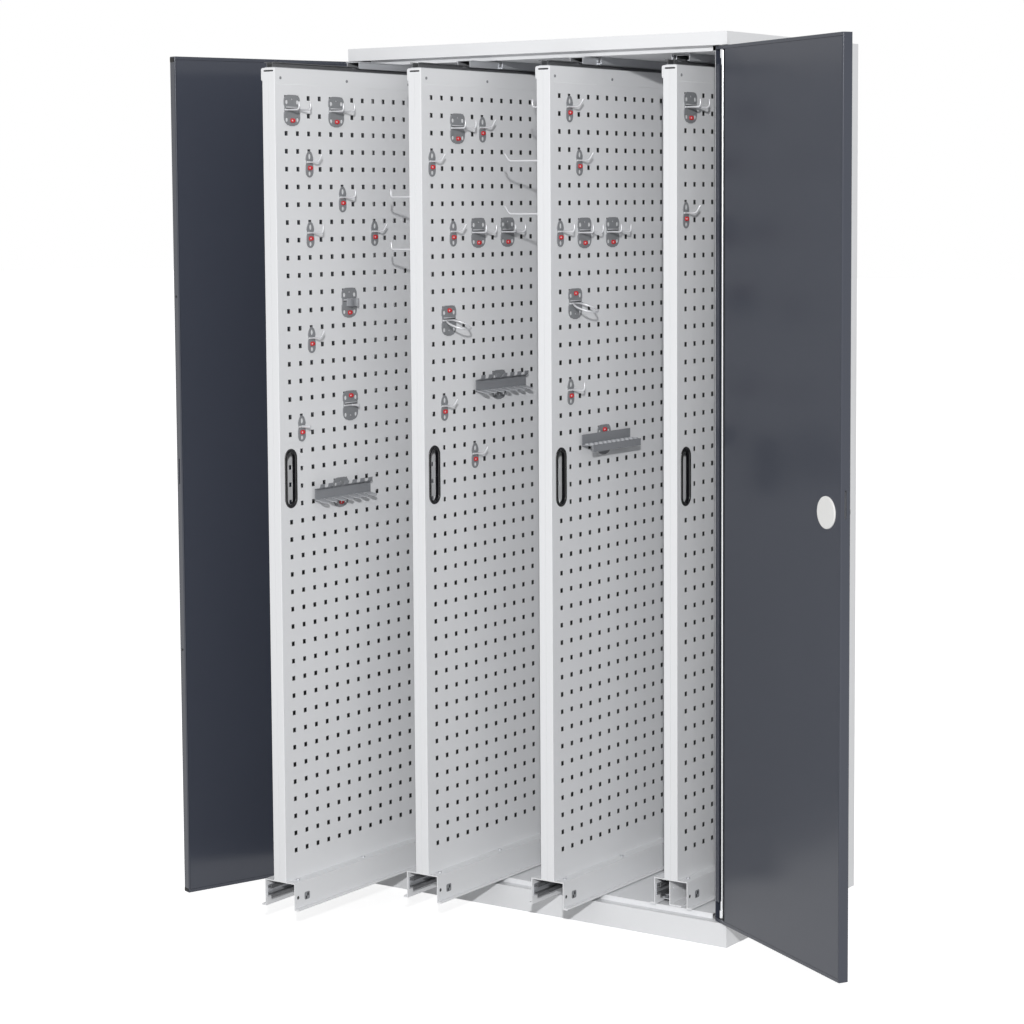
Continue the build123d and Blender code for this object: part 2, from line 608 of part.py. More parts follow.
# ---------------------------------------------------------------- pull-outs
def pullout_frame(centre, front):
    """A ring of folded channel that stiffens the two sheets."""
    half = PULLOUT_THICKNESS / 2 - FACE_SHEET
    y0, y1 = front + FACE_SHEET, front + PULLOUT_LENGTH - FACE_SHEET
    z0, z1 = PULLOUT_BOTTOM, PULLOUT_TOP
    shape = block(centre - half, centre + half, y0, y1, z0, z1)
    shape -= block(
        centre - half - 1, centre + half + 1, y0 + POST_DEPTH, y1 - POST_DEPTH, z0 + BOTTOM_RAIL,
        z1 - TOP_RAIL,
    )
    shape -= block(
        centre - half + SHEET, centre + half - SHEET, y0 + SHEET, y1 - SHEET, z0 + SHEET, z1 - SHEET
    )
    return shape


def hole_position(front, column, row):
    """The middle of a square hole."""
    return front + FIRST_COLUMN + column * HOLE_PITCH, FIRST_ROW - row * HOLE_PITCH


def perforated_sheet(centre, front, side):
    """A perforated face with an upright fold at each end; only the right one has a grip."""
    inner = centre + side * (PULLOUT_THICKNESS / 2 - FACE_SHEET)
    outer = centre + side * PULLOUT_THICKNESS / 2
    y0, y1 = front, front + PULLOUT_LENGTH
    z0, z1 = PULLOUT_BOTTOM, PULLOUT_TOP
    outline = Wire.make_polygon(
        [(inner, y0 + FACE_SHEET, z0), (inner, y1 - FACE_SHEET, z0), (inner, y1 - FACE_SHEET, z1),
         (inner, y0 + FACE_SHEET, z1)]
    )
    holes = []
    h = HOLE / 2
    for column in range(COLUMN_COUNT):
        for row in range(ROW_COUNT):
            if side > 0 and column == 0 and row in GRIP_ROWS:
                continue
            y, z = hole_position(front, column, row)
            corners = [(y - h, z - h), (y - h, z + h), (y + h, z + h), (y + h, z - h)]
            holes.append(Wire.make_polygon([(inner, a, b) for a, b in corners]))
    if side > 0:
        holes.append(stadium(inner, front + FIRST_COLUMN, GRIP_CUTOUT))
    face = Face(outline, holes)
    shape = Part() + Solid.extrude(face, Vector(outer - inner, 0, 0))
    seam = centre + side * FOLD_SEAM / 2
    for y, step in ((y0, 1), (y1, -1)):
        fold = block(seam, outer, y, y + step * FACE_SHEET, z0, z1)
        corner = fold.edges().filter_by(Axis.Z).filter_by_position(
            Axis.Y, y - 0.01, y + 0.01
        ).sort_by(Axis.X)[-1 if side > 0 else 0]
        shape += fillet(corner, BEND_RADIUS - 0.1)
    return shape


def stadium(x, y, size):
    """An upright slot outline in the plane at x, centred on the grip."""
    width, height = size
    sketch = SlotOverall(height, width, rotation=90)
    plane = Plane(origin=(x, y, GRIP_HEIGHT_CENTRE), x_dir=(0, 1, 0), z_dir=(1, 0, 0))
    return (plane * sketch).face().outer_wire()


def grip_trim(centre, front):
    """A raised oval ring with a sleeve through the right sheet."""
    face_x = centre + PULLOUT_THICKNESS / 2
    y = front + FIRST_COLUMN
    rim = Solid.extrude(Face(stadium(face_x, y, GRIP_TRIM)), Vector(GRIP_RAISE, 0, 0))
    sleeve_size = tuple(value - 2 * GRIP_CLEARANCE for value in GRIP_CUTOUT)
    sleeve = Solid.extrude(
        Face(stadium(face_x - GRIP_SLEEVE_DEPTH, y, sleeve_size)), Vector(GRIP_SLEEVE_DEPTH, 0, 0)
    )
    hole = Solid.extrude(
        Face(stadium(face_x - GRIP_SLEEVE_DEPTH - 1, y, GRIP_OPENING)),
        Vector(GRIP_SLEEVE_DEPTH + GRIP_RAISE + 2, 0, 0),
    )
    return Part() + rim + sleeve - hole


def channel(centre, front):
    """The hat channel under a pull-out, with hemmed flanges just above the floor."""
    y0, y1 = front, front + PULLOUT_LENGTH
    w, t = CHANNEL_HALF_WIDTH, CHANNEL_SHEET
    top = PULLOUT_BOTTOM
    shape = block(centre - w, centre + w, y0, y1, CHANNEL_BOTTOM, top)
    shape -= block(centre - w + t, centre + w - t, y0 - 1, y1 + 1, CHANNEL_BOTTOM - 1, top - t)
    for side in (-1, 1):
        flange = block(
            centre + side * (w - 0.5), centre + side * (w + CHANNEL_FLANGE), y0, y1, CHANNEL_BOTTOM,
            CHANNEL_BOTTOM + CHANNEL_HEM,
        )
        hem = flange.edges().filter_by(Axis.Y).sort_by(Axis.X)
        shape += fillet(hem[-2:] if side > 0 else hem[:2], CHANNEL_HEM / 2 - 0.05)
    right = centre + w
    low = CHANNEL_BOTTOM
    shape -= cross_cylinder(right - 6, right + 1, front + 11, low + 27, 4.0)
    shape -= cross_cylinder(right - 6, right + 1, front + 38, low + 22, 3.5)
    slot = prism_along_x(
        [
            (front + 36.4, low + 23.2),
            (front + 39.6, low + 20.8),
            (front + 46.1, low + 29.1),
            (front + 43, low + 31.6),
        ],
        right - 6,
        7,
    )
    shape -= slot
    return shape


# ---------------------------------------------------------------- hooks
# Each entry is a kind, a column and the upper of the two rows of holes its claws enter.
RIGHT_HOOKS = (
    (
        ("wide", 0, 0), ("wide", 4, 0), ("slant", 2, 3), ("straight", 5, 5), ("straight", 2, 7),
        ("slant", 8, 7), ("clip", 5, 11), ("slant", 2, 13), ("pin", 5, 17), ("short", 1, 18),
        ("comb", 4, 22),
    ),
    (
        ("wide", 2, 1), ("slant", 5, 1), ("slant", 0, 3), ("slant", 2, 7), ("wide", 4, 7),
        ("wide", 7, 7), ("ring", 1, 12), ("comb", 6, 16), ("slant", 1, 17), ("slant", 4, 20),
    ),
    (
        ("slant", 1, 0), ("slant", 2, 3), ("straight", 0, 7), ("wide", 2, 7), ("wide", 5, 7),
        ("ring", 1, 11), ("straight", 1, 16), ("shelf", 4, 19),
    ),
    (("wide", 0, 0), ("slant", 0, 6)),
)
# Long hooks on the left faces: a kind, a column, a row and how far the wire reaches.
LEFT_HOOKS = (
    (),
    (("straight", 0, 5, 77.0), ("straight", 0, 8, 77.0)),
    (("straight", 0, 0, 35.0), ("slant", 0, 3, 108.0), ("slant", 0, 6, 108.0)),
    (),
)
REACH = {"wide": 37.0, "slant": 37.0, "straight": 37.0, "short": 24.0, "pin": 22.0, "clip": 20.0}
TWO_COLUMN = ("wide", "clip", "pin", "ring", "comb", "shelf")
LOCK_ON_TOP = ("pin", "ring", "shelf")
COMB_LENGTH = 198.0
RING_RADIUS = 27.0
RING_DROOP = 20.0


def wire(points):
    """A round wire along a path with rounded bends; points are x outward, y and z."""
    path = FilletPolyline(*points, radius=WIRE_BEND) if len(points) > 2 else Line(*points)
    return sweep(Plane(origin=path @ 0, z_dir=path % 0) * Circle(WIRE_RADIUS), path=path)


def plate_size(kind):
    """The width and height of a hook's plate."""
    return WIDE_PLATE if kind in TWO_COLUMN else NARROW_PLATE


def hook_plate(kind):
    """A plate with rounded corners at x 0, with claws behind it; z 0 is the upper row of holes."""
    width, height = plate_size(kind)
    wide = kind in TWO_COLUMN
    drop = WIDE_DROP if wide else NARROW_DROP
    radius = 9.0 if wide else width / 2 - 0.01
    outline = RectangleRounded(width, height, radius)
    plane = Plane(origin=(0, 0, -drop), x_dir=(0, 1, 0), z_dir=(1, 0, 0))
    shape = extrude(plane * outline, PLATE_THICKNESS)
    offsets = (-HOLE_PITCH / 2, HOLE_PITCH / 2) if wide else (0,)
    for y in offsets:
        for z in (0, -HOLE_PITCH):
            low, high = z - CLAW / 2, z + (CLAW / 2 if z else 2.5)
            shape += block(-CLAW_DEPTH, 0.5, y - CLAW / 2, y + CLAW / 2, low, high)
    return shape


def upturned(reach, kind, y, z):
    """The path of one prong with its end turned up, sharply or on a slant."""
    start = PLATE_THICKNESS - 0.5
    if kind == "slant":
        return [(start, y, z), (reach - 9, y, z), (reach, y, z + UPTURN)]
    return [(start, y, z), (reach, y, z), (reach, y, z + UPTURN)]


def hook_fittings(kind, reach):
    """What stands out from a hook's plate."""
    wide = kind in TWO_COLUMN
    z = -WIDE_WIRE_DROP if wide else -NARROW_WIRE_DROP
    base_x = PLATE_THICKNESS + WIRE_RADIUS - 0.5
    half = (WIDE_PLATE if wide else NARROW_PLATE)[0] / 2 - 1
    base = wire([(base_x, -half, z), (base_x, half, z)])
    if kind == "wide":
        y = HOLE_PITCH / 2 + 0.5
        return [base, wire(upturned(reach, kind, -y, z)), wire(upturned(reach, kind, y, z))]
    if kind in ("slant", "straight"):
        return [base, wire(upturned(reach, kind, 0, z))]
    if kind == "short":
        return [base, wire([(1.5, 0, z), (reach, 0, z)])]
    if kind == "pin":
        return [base, wire([(1.5, 4, z), (reach, 4, z)])]
    if kind == "clip":
        jaws = [block(1.5, reach, y - 1, y + 1, z - 9, z + 9) for y in (-9, 9)]
        return [block(1.5, 4, -10, 10, z - 9, z + 9)] + jaws
    if kind == "ring":
        loop = Pos(RING_RADIUS, 0, 0) * Torus(RING_RADIUS, WIRE_RADIUS)
        return [base, Pos(base_x - 0.5, 0, z) * Rot(0, RING_DROOP, 0) * loop]
    if kind == "comb":
        return comb_rack(z)
    return shelf_rack(z)


def comb_rack(z):
    """A long web with teeth leaning up and fingers leaning down, for spanners."""
    half = COMB_LENGTH / 2
    pieces = [block(1.5, 7, -18, 18, z - 8, z + 8), block(6.5, 8.0, -half, half, z - 10, z + 15)]
    tooth = [(6.5, z + 15), (6.5, z + 13.4), (32, z + 24.4), (32, z + 26)]
    finger = [(6.5, z - 10), (6.5, z - 8.4), (36, z - 14.4), (36, z - 16)]
    count, pitch = 7, COMB_LENGTH / 7
    for index in range(count):
        start = -half + index * pitch
        pieces.append(Pos(0, start, 0) * prism_along_y(tooth, 0, pitch * 0.55))
        pieces.append(Pos(0, start, 0) * prism_along_y(finger, 0, pitch * 0.82))
    return pieces


def shelf_rack(z):
    """A shelf with two rows of holes, a web behind it and a lip in front, for screwdrivers."""
    half = COMB_LENGTH / 2
    shelf_z = z - 5
    shelf = block(6.5, 36, -half, half, shelf_z - 1.5, shelf_z)
    count = 11
    pitch = COMB_LENGTH / count
    for index in range(count):
        y = -half + (index + 0.5) * pitch
        for x in (15, 27):
            shelf -= upright_cylinder(x, y, shelf_z - 3, shelf_z + 1, 3.6)
    web = block(6.5, 8.0, -half, half, shelf_z - 1.5, z + 17)
    lip = block(34.5, 36, -half, half, shelf_z - 15, shelf_z)
    return [block(1.5, 7, -18, 18, z - 6, z + 10), shelf, web, lip]


def hook(kind, reach):
    """One hook as a single solid, on a sheet whose face is x 0."""
    shape = hook_plate(kind)
    for piece in hook_fittings(kind, reach):
        shape += piece
    return shape


def hook_lock(kind):
    """The small block that keeps a hook's plate in its holes."""
    width, height, depth = LOCK_BLOCK
    wide = kind in TWO_COLUMN
    drop = WIDE_DROP if wide else NARROW_DROP
    middle = -drop + (22.0 if kind in LOCK_ON_TOP else -22.0) if wide else -drop - 9.0
    x = PLATE_THICKNESS
    return block(x, x + depth, -width / 2, width / 2, middle - height / 2, middle + height / 2)


def on_sheet(number, side, kind, column, row, shape):
    """Moves a hook from its own place to a column and row of one sheet."""
    front = PULLOUT_CLOSED_FRONT - PULLOUT_EXTENSIONS[number]
    y, z = hole_position(front, column, row)
    if kind in TWO_COLUMN:
        y += HOLE_PITCH / 2
    x = PULLOUT_CENTRES[number] + side * PULLOUT_THICKNESS / 2
    turn = Rot(0, 0, 0) if side > 0 else Rot(0, 0, 180)
    return Pos(x, y, z) * turn * shape


def hooks(number):
    """All the hooks of one pull-out, and all their locks."""
    bodies, locks = [], []
    for kind, column, row in RIGHT_HOOKS[number]:
        reach = REACH.get(kind, 0)
        bodies.append(on_sheet(number, 1, kind, column, row, hook(kind, reach)))
        locks.append(on_sheet(number, 1, kind, column, row, hook_lock(kind)))
    for kind, column, row, reach in LEFT_HOOKS[number]:
        bodies.append(on_sheet(number, -1, kind, column, row, hook(kind, reach)))
        locks.append(on_sheet(number, -1, kind, column, row, hook_lock(kind)))
    return Compound(bodies), Compound(locks)


# ---------------------------------------------------------------- the whole cabinet
def build_carcass():
    """Writes the fixed sub-parts."""
    save("top_panel", top_panel())
    save("ceiling_panel", ceiling_panel())
    save("floor_panel", floor_panel())
    save("plinth_frame", plinth_frame())
    save("left_side_wall", side_wall(-1))
    save("right_side_wall", side_wall(1))
    save("back_panel", back_panel())
    save("floor_brackets", floor_brackets())
    save("top_outer_slides", top_outer_slides())
    save("bottom_outer_slides", bottom_outer_slides())
    save("levelling_feet", levelling_feet())
    save("hinge_bushes", hinge_bushes())


def build_doors():
    """Writes both doors and the lock, turned to where they are left open."""
    for side, word in ((-1, "left"), (1, "right")):
        save(f"{word}_door_shell", opened(side, door_shell(side)))
        save(f"{word}_door_inner_panel", opened(side, door_inner_panel(side)))
        save(f"{word}_hinge_rod", opened(side, hinge_rod(side)))
    save("left_door_buffers", opened(-1, left_door_buffers()))
    save("lock_case", opened(1, lock_case()))
    save("lock_handle", opened(1, lock_handle()))
    save("lock_hook", opened(1, lock_hook()))
    save("lock_cover", opened(1, lock_cover()))


def build_pullout(number):
    """Writes the sub-parts of one pull-out, numbered from the left."""
    centre = PULLOUT_CENTRES[number]
    extension = PULLOUT_EXTENSIONS[number]
    front = PULLOUT_CLOSED_FRONT - extension
    name = f"pullout_{number + 1}"
    save(f"{name}_frame", pullout_frame(centre, front))
    save(f"{name}_right_sheet", perforated_sheet(centre, front, 1))
    save(f"{name}_left_sheet", perforated_sheet(centre, front, -1))
    save(f"{name}_channel", channel(centre, front))
    save(f"{name}_runners", runners(centre, front))
    save(f"{name}_grip_trim", grip_trim(centre, front))
    save(f"{name}_mid_slides", mid_slides(centre, extension))
    bodies, locks = hooks(number)
    save(f"{name}_hooks", bodies)
    save(f"{name}_hook_locks", locks)


build_carcass()
build_doors()
for pullout_number in range(len(PULLOUT_CENTRES)):
    build_pullout(pullout_number)
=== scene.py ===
import logging
import math
from dataclasses import dataclass
from enum import Enum, IntEnum
from typing import Any, Dict, List, Optional, Sequence, Tuple

import bmesh
import bpy
import numpy as np
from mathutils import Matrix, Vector


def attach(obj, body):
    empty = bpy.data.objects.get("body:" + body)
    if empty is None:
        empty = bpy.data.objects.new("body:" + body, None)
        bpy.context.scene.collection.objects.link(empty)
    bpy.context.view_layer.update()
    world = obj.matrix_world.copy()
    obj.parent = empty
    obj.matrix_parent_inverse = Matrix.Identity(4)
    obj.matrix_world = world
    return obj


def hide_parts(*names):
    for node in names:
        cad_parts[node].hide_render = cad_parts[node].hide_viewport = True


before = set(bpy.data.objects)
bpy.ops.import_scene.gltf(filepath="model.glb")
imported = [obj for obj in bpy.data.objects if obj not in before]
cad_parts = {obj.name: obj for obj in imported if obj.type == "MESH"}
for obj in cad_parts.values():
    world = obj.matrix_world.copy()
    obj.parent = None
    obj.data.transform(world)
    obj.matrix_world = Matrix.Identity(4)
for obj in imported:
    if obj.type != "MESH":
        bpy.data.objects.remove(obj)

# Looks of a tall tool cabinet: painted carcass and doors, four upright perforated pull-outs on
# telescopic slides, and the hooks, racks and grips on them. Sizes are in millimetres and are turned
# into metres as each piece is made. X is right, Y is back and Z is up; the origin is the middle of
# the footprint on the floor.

LOG = logging.getLogger("tool_cabinet")
MM = 0.001
HALF_DEPTH = 300.0  # from the cabinet's middle to its front
HOLE_PITCH = 38.0
MERGE_DISTANCE = 2e-6  # metres
SHARP_ANGLE = 38.0  # degrees, above which an edge stays sharp
Points = np.ndarray
Numbers = Sequence[float]
Pair = Tuple[float, float]
Pairs = Sequence[Pair]
Triple = Tuple[float, float, float]
Block = Tuple[Numbers, Numbers]
Socket = bpy.types.NodeSocket
Tree = bpy.types.NodeTree
Material = bpy.types.Material

# Turned pieces, as pairs of radius and height along the axis.
STUB = ((0, 0), (2.6, 0), (3.0, 1), (3.0, 22.6), (2.6, 23.8), (0, 24.0))
PEG = ((0, 0), (2.4, 0), (2.6, 1), (2.6, 16), (3.4, 16.5), (3.4, 20.5), (0, 22))
HOLE_RIM = ((3.7, -0.4), (3.7, 1.9), (4.1, 2.4), (5.2, 2.4), (5.6, 2.0), (5.6, -0.2))
LOCK_BOSS = ((4.1, 0), (4.1, 1.0), (3.5, 1.9), (0, 2.0))
LOCK_PIN = ((0, 0), (1.9, 0), (1.9, 1.4), (1.2, 1.9), (0, 2.0))
SHEET_SCREW = ((0, 0.7), (1.1, 0.7), (1.2, 1.5), (2.9, 1.4), (3.2, 0.8), (3.2, 0.0))
WALL_SCREW = ((0, 0.4), (1.3, 0.4), (1.5, 0.9), (3.4, 0.9), (3.8, 0.5), (3.8, -1.0))
LEDGE_SCREW = ((0, 1.0), (1.8, 1.0), (2.0, 2.2), (4.0, 2.0), (4.4, 1.2), (4.4, 0.0))


# ---------------------------------------------------------------- surfaces
@dataclass
class Surface:
    """Points in millimetres, the quads between them, and which finish they take."""

    points: Points
    quads: np.ndarray
    slot: int = 0

    def moved(self, offset: Numbers) -> "Surface":
        """The same surface, shifted."""
        return Surface(self.points + np.asarray(offset, float), self.quads, self.slot)

    def facing_left(self) -> "Surface":
        """The same surface turned half a turn about Z, for a sheet that faces -X."""
        return Surface(self.points * np.array([-1.0, -1.0, 1.0]), self.quads, self.slot)


def gridded(points: Points, slot: int, closed: bool = False) -> Surface:
    """A surface over a grid of points whose last column joins its first.

    Args:
        points: rows by columns by X, Y and Z.
        slot: which finish it takes.
        closed: whether the last row joins the first, too.
    Returns:
        The surface, with a quad between each four neighbours, counted row by row.
    """
    rows, columns = points.shape[:2]
    row = np.arange(rows if closed else rows - 1)
    row, column = (a.ravel() for a in np.meshgrid(row, np.arange(columns), indexing="ij"))
    next_row, next_column = (row + 1) % rows, (column + 1) % columns
    corners = [
        row * columns + column,
        row * columns + next_column,
        next_row * columns + next_column,
        next_row * columns + column,
    ]
    return Surface(points.reshape(-1, 3), np.stack(corners, axis=-1), slot)


def bent_path(points: Sequence[Numbers], radius: float, steps: int = 6) -> Points:
    """A line through corners, each rounded toward its two sides.

    Between a corner's two tangent points a and b the curve is (1-t)^2 a + 2t(1-t) corner + t^2 b.

    Args:
        points: the corners, with both ends.
        radius: how far from a corner its curve starts, where its sides are long enough.
        steps: points in each curve.
    Returns:
        Points along the line.
    """
    corners = np.asarray(points, float)
    legs = [corners[:1]]
    t = np.linspace(0.0, 1.0, steps)[:, None]
    for before, corner, after in zip(corners[:-2], corners[1:-1], corners[2:]):
        back, ahead = before - corner, after - corner
        reach = min(radius, 0.45 * np.linalg.norm(back), 0.45 * np.linalg.norm(ahead))
        a = corner + back / np.linalg.norm(back) * reach
        b = corner + ahead / np.linalg.norm(ahead) * reach
        legs.append((1 - t) ** 2 * a + 2 * t * (1 - t) * corner + t**2 * b)
    legs.append(corners[-1:])
    return np.concatenate(legs)


def wire(path: Points, radius: float, normal: Numbers, slot: int = 0, sides: int = 10,
         closed: bool = False) -> Surface:
    """A circle carried along a flat path.

    A point is path + radius * (cos a * normal + sin a * (tangent x normal)); open ends close in
    two smaller rings, as a rounded end does.

    Args:
        path: points along the middle of the wire.
        radius: of the wire.
        normal: at right angles to the plane that the path lies in.
        slot: which finish the wire takes.
        sides: points around the wire.
        closed: whether the path's end joins its start.
    Returns:
        The wire's surface.
    """
    path = np.asarray(path, float)
    if closed:
        tangent = np.roll(path, -1, axis=0) - np.roll(path, 1, axis=0)
        scale = np.ones(len(path))
    else:
        first, last = path[:1], path[-1:]
        lead = (path[1:2] - first) / np.linalg.norm(path[1] - path[0])
        tail = (last - path[-2:-1]) / np.linalg.norm(path[-1] - path[-2])
        step, rings = 0.35 * radius, [0.0, 0.72]
        path = np.concatenate([first, first, first + lead * step, path[1:-1], last - tail * step, last, last])
        scale = np.concatenate([rings, np.ones(len(path) - 4), rings[::-1]])
        tangent = np.gradient(path, axis=0)
        tangent[:2], tangent[-2:] = lead, tail
    tangent /= np.linalg.norm(tangent, axis=1, keepdims=True)
    side = np.asarray(normal, float) / np.linalg.norm(normal)
    other = np.cross(tangent, side)
    angle = np.linspace(0.0, 2 * np.pi, sides, endpoint=False)
    ring = np.cos(angle)[None, :, None] * side + np.sin(angle)[None, :, None] * other[:, None, :]
    points = path[:, None, :] + radius * scale[:, None, None] * ring
    return gridded(points, slot, closed)


def strip(line: Pairs, half_width: Numbers, thickness: float, middle: float = 0.0, slot: int = 0) -> Surface:
    """A sheet-metal tongue: a line in X and Z with a width along Y and a thickness across it.

    A point is line(t) + s * half_width(t) along Y + n * thickness along the line's normal, and the
    sheet's four corners are (s, n) = (-1, 0), (1, 0), (1, 1), (-1, 1), each softened a little.

    Args:
        line: X and Z along the sheet, one row per station.
        half_width: half of the sheet's width at each station.
        thickness: of the sheet; below 0 it lies on the line's other side.
        middle: Y of the sheet's middle.
        slot: which finish it takes.
    Returns:
        A closed surface.
    """
    line = np.asarray(line, float)
    half_width = np.asarray(half_width, float)
    direction = np.gradient(line, axis=0)
    direction /= np.linalg.norm(direction, axis=1, keepdims=True)
    normal = np.stack([-direction[:, 1], direction[:, 0]], axis=1)
    soft = min(0.3, 0.25 * thickness)
    across = np.array([-1, -1, -1, -1, 1, 1, 1, 1], float)
    inset = np.array([soft, 0, 0, soft, soft, 0, 0, soft])
    through = np.array([0, soft, thickness - soft, thickness, thickness, thickness - soft, soft, 0])
    y = middle + across[None, :] * np.maximum(half_width[:, None] - inset[None, :], 0.0)
    x = line[:, :1] + normal[:, :1] * through[None, :]
    z = line[:, 1:] + normal[:, 1:] * through[None, :]
    points = np.stack([x, y, z], axis=-1)
    pinch = points.mean(axis=1, keepdims=True) * np.ones((1, len(across), 1))
    points = np.concatenate([pinch[:1], points, pinch[-1:]])
    return gridded(points, slot)


def soft_block(low: Numbers, high: Numbers, squareness: float = 6.0, slot: int = 0) -> Surface:
    """A block with rounded edges: a ball whose every direction is stretched to the same power-n size.

    For a direction d, the point is d / (|dx|^n + |dy|^n + |dz|^n)^(1/n), scaled to the block.

    Args:
        low, high: the block's opposite corners.
        squareness: the power n; the higher, the sharper the edges.
        slot: which finish it takes.
    Returns:
        A surface that closes in a point above and below.
    """
    rows, columns = 15, 28
    low, high = np.asarray(low, float), np.asarray(high, float)
    polar, around = np.meshgrid(np.linspace(0, np.pi, rows),
                                np.linspace(0, 2 * np.pi, columns, endpoint=False), indexing="ij")
    d = np.stack([np.sin(polar) * np.cos(around), np.sin(polar) * np.sin(around), np.cos(polar)], axis=-1)
    size = (np.abs(d) ** squareness).sum(axis=-1, keepdims=True) ** (1.0 / squareness)
    points = (low + high) / 2 + d / size * (high - low) / 2
    return gridded(points, slot)


def turned(profile: Pairs, centre: Numbers, axis: Numbers, slot: int = 0, sides: int = 20) -> Surface:
    """A turned piece: centre + height * axis + radius * (cos a * u + sin a * v), u and v across the axis.

    Args:
        profile: pairs of radius and height.
        centre: the point at height 0.
        axis: the direction of height.
        slot: which finish it takes.
        sides: points around the axis.
    Returns:
        The surface, open where the profile doesn't start or end on the axis.
    """
    axis = np.asarray(axis, float) / np.linalg.norm(axis)
    helper = np.array([0.0, 0.0, 1.0]) if abs(axis[2]) < 0.9 else np.array([1.0, 0.0, 0.0])
    u = np.cross(axis, helper)
    u /= np.linalg.norm(u)
    v = np.cross(axis, u)
    angle = np.linspace(0, 2 * np.pi, sides, endpoint=False)
    ring = np.cos(angle)[:, None] * u + np.sin(angle)[:, None] * v
    radii, heights = np.asarray(profile, float).T
    points = np.asarray(centre, float) + heights[:, None, None] * axis + radii[:, None, None] * ring[None]
    return gridded(points, slot)


def pierced_cell(low: Pair, high: Pair, outline: Optional[Points], hole: Pair, hole_at: Pair, face: Pair,
                 slot: int = 0) -> Surface:
    """A patch of flat sheet with an oval hole: a small profile carried once round the hole.

    For each direction the patch reaches from the oval to the nearer of its rectangle and the
    plate's outline, so neighbouring patches meet exactly along the rectangle's sides.

    Args:
        low, high: Y and Z of the rectangle's corners.
        outline: Y and Z round the whole plate, or None where the rectangle is the patch.
        hole: half sizes of the oval along Y and Z.
        hole_at: Y and Z of the oval's middle.
        face: X of the sheet's back and front.
        slot: which finish it takes.
    Returns:
        A closed surface.
    """
    rays, least_rim, soft = 36, 0.3, 0.25
    centre = np.asarray(hole_at, float)
    low_c, high_c = np.asarray(low, float) - centre, np.asarray(high, float) - centre
    corner_y = np.array([low_c[0], low_c[0], high_c[0], high_c[0]])
    corner_z = np.array([low_c[1], high_c[1], low_c[1], high_c[1]])
    angle = np.sort(np.concatenate([np.linspace(-np.pi, np.pi, rays, endpoint=False),
                                    np.arctan2(corner_z, corner_y)]))
    cos, sin = np.cos(angle), np.sin(angle)
    with np.errstate(divide="ignore"):
        reach_y = np.where(cos > 0, high_c[0] / cos, low_c[0] / cos)
        reach_z = np.where(sin > 0, high_c[1] / sin, low_c[1] / sin)
    reach = np.minimum(np.where(np.abs(cos) < 1e-9, np.inf, reach_y),
                       np.where(np.abs(sin) < 1e-9, np.inf, reach_z))
    if outline is not None:
        seen = np.asarray(outline, float) - centre
        seen_angle = np.arctan2(seen[:, 1], seen[:, 0])
        order = np.argsort(seen_angle)
        edge = np.interp(angle, seen_angle[order], np.hypot(seen[:, 0], seen[:, 1])[order], period=2 * np.pi)
        reach = np.minimum(reach, edge)
    oval = hole[0] * hole[1] / np.hypot(hole[1] * cos, hole[0] * sin)
    oval = np.minimum(oval, reach - least_rim)
    back, front = face
    worn = soft * 0.3
    radii = np.stack([reach, reach, oval, oval, oval + soft, reach - worn], axis=1)
    depth = np.array([front - worn, back, back, front - soft, front, front])
    y = centre[0] + radii * cos[:, None]
    z = centre[1] + radii * sin[:, None]
    points = np.stack([np.broadcast_to(depth, y.shape), y, z], axis=-1)
    return gridded(points, slot, closed=True)


def oval_ring(width: float, height: float, section: Points, centre: Numbers, slot: int = 0) -> Surface:
    """A closed section carried round an upright slot shape in the Y-Z plane.

    The slot's line is two half circles joined by straight sides; a section point (out, x) stands
    out from that line and along X.

    Args:
        width, height: of the slot's line.
        section: pairs of out and x.
        centre: middle of the slot.
        slot: which finish it takes.
    Returns:
        A closed surface.
    """
    radius, straight = width / 2, (height - width) / 2
    half = np.linspace(-np.pi / 2, np.pi / 2, 20)
    top = np.stack([radius * np.sin(half), straight + radius * np.cos(half)], axis=1)
    line = np.concatenate([top, -top])
    out = np.concatenate([np.stack([np.sin(half), np.cos(half)], axis=1)] * 2)
    out[len(half):] *= -1
    section = np.asarray(section, float)
    y = line[:, None, 0] + out[:, None, 0] * section[None, :, 0]
    z = line[:, None, 1] + out[:, None, 1] * section[None, :, 0]
    x = np.broadcast_to(section[None, :, 1], y.shape)
    points = np.stack([x, y, z], axis=-1) + np.asarray(centre, float)
    return gridded(points, slot, closed=True)


